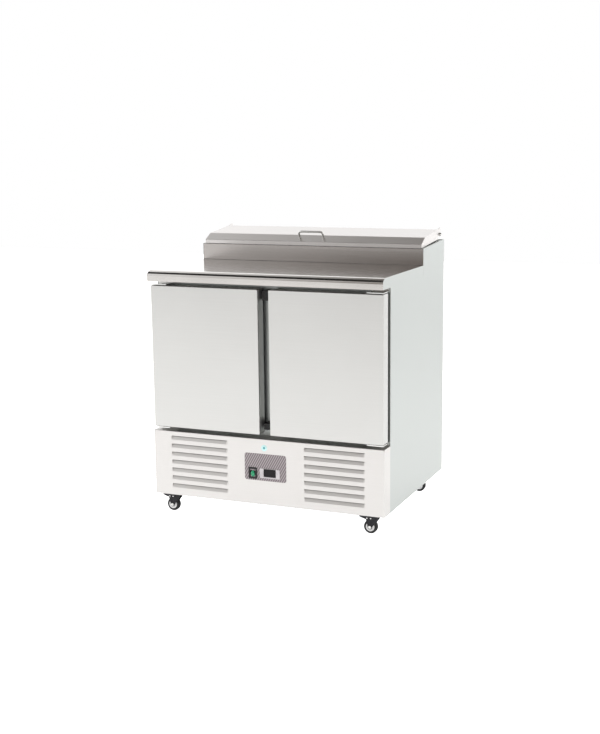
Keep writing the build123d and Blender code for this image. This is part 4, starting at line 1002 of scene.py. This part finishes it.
# The studio around the object: white behind and to the left, grey in front, dark where the ceiling comes forward.
world = bpy.data.worlds.new("studio")
bpy.context.scene.world = world
world.use_nodes = True
sky = world.node_tree
surround = sky.nodes["Background"]
where = add(sky, "ShaderNodeTexCoord")
axes = add(sky, "ShaderNodeSeparateXYZ", {"Vector": (where, "Generated")})
front_sky = add(sky, "ShaderNodeValToRGB", {"Fac": (axes, "Z")}, [
    (0.0, colour("d8d6d4")), (0.03, colour("948d88")), (0.2, colour("837b76")), (0.42, colour("a8a4a0")),
    (0.7, colour("c4c0bc"))])
back_sky = add(sky, "ShaderNodeValToRGB", {"Fac": (axes, "Z")}, [
    (0.0, colour("ffffff")), (0.45, colour("ffffff")), (0.62, colour("76726f")), (1.0, colour("7c7a78"))])
back_gain = (1.5, 1.5, 1.5)
brighter = add(sky, "ShaderNodeVectorMath", {0: (back_sky, "Color"), 1: back_gain}, operation="MULTIPLY")
toward_back = add(sky, "ShaderNodeMapRange", {"Value": (axes, "Y"), "From Min": -0.1, "From Max": 0.2})
round_about = add(sky, "ShaderNodeMixRGB", {
    "Fac": (toward_back, "Result"), "Color1": (front_sky, "Color"), "Color2": (brighter, "Vector")})
left_side = add(sky, "ShaderNodeMapRange", {"Value": (axes, "X"), "From Min": -0.33, "From Max": -0.5})
lit_left = add(sky, "ShaderNodeMixRGB", {
    "Fac": (left_side, "Result"), "Color1": (round_about, "Color"), "Color2": (1.15, 1.15, 1.15, 1)},
    blend_type="LIGHTEN")
black, white = (0, 0, 0, 1), (1, 1, 1, 1)
gap = add(sky, "ShaderNodeValToRGB", {"Fac": (axes, "Z")}, [
    (0.74, black), (0.8, white), (0.94, white), (0.965, black)])
toward_front = add(sky, "ShaderNodeMapRange", {"Value": (axes, "Y"), "From Min": 0.3, "From Max": 0.22})
gap_here = add(sky, "ShaderNodeMath", {0: (gap, "Color"), 1: (toward_front, "Result")}, operation="MULTIPLY")
lit = add(sky, "ShaderNodeMixRGB", {
    "Fac": (gap_here, "Value"), "Color1": (lit_left, "Color"), "Color2": colour("1b1a19")})
seen = add(sky, "ShaderNodeLightPath")
shown = add(sky, "ShaderNodeMixRGB", {"Fac": (seen, "Is Camera Ray"),
                                        "Color1": (lit, "Color"), "Color2": white})
sky.links.new(shown.outputs["Color"], surround.inputs["Color"])

bpy.context.scene.view_settings.view_transform = "Standard"

eye = Vector((1.8103, -4.3064, 1.3938))
aim = Vector((0.1389, -0.341, 0.5946))
lean = -0.011
forward = (aim - eye).normalized()
right = forward.cross(Vector((0, 0, 1))).normalized()
above = right.cross(forward)
camera_x = cos(lean) * right + sin(lean) * above
camera_y = -sin(lean) * right + cos(lean) * above
lens = bpy.data.cameras.new("camera")
lens.lens = 61.617
lens.sensor_width = 36.0
camera = bpy.data.objects.new("camera", lens)
bpy.context.scene.collection.objects.link(camera)
camera.matrix_world = Matrix((camera_x, camera_y, -forward)).transposed().to_4x4()
camera.location = eye
bpy.context.scene.camera = camera
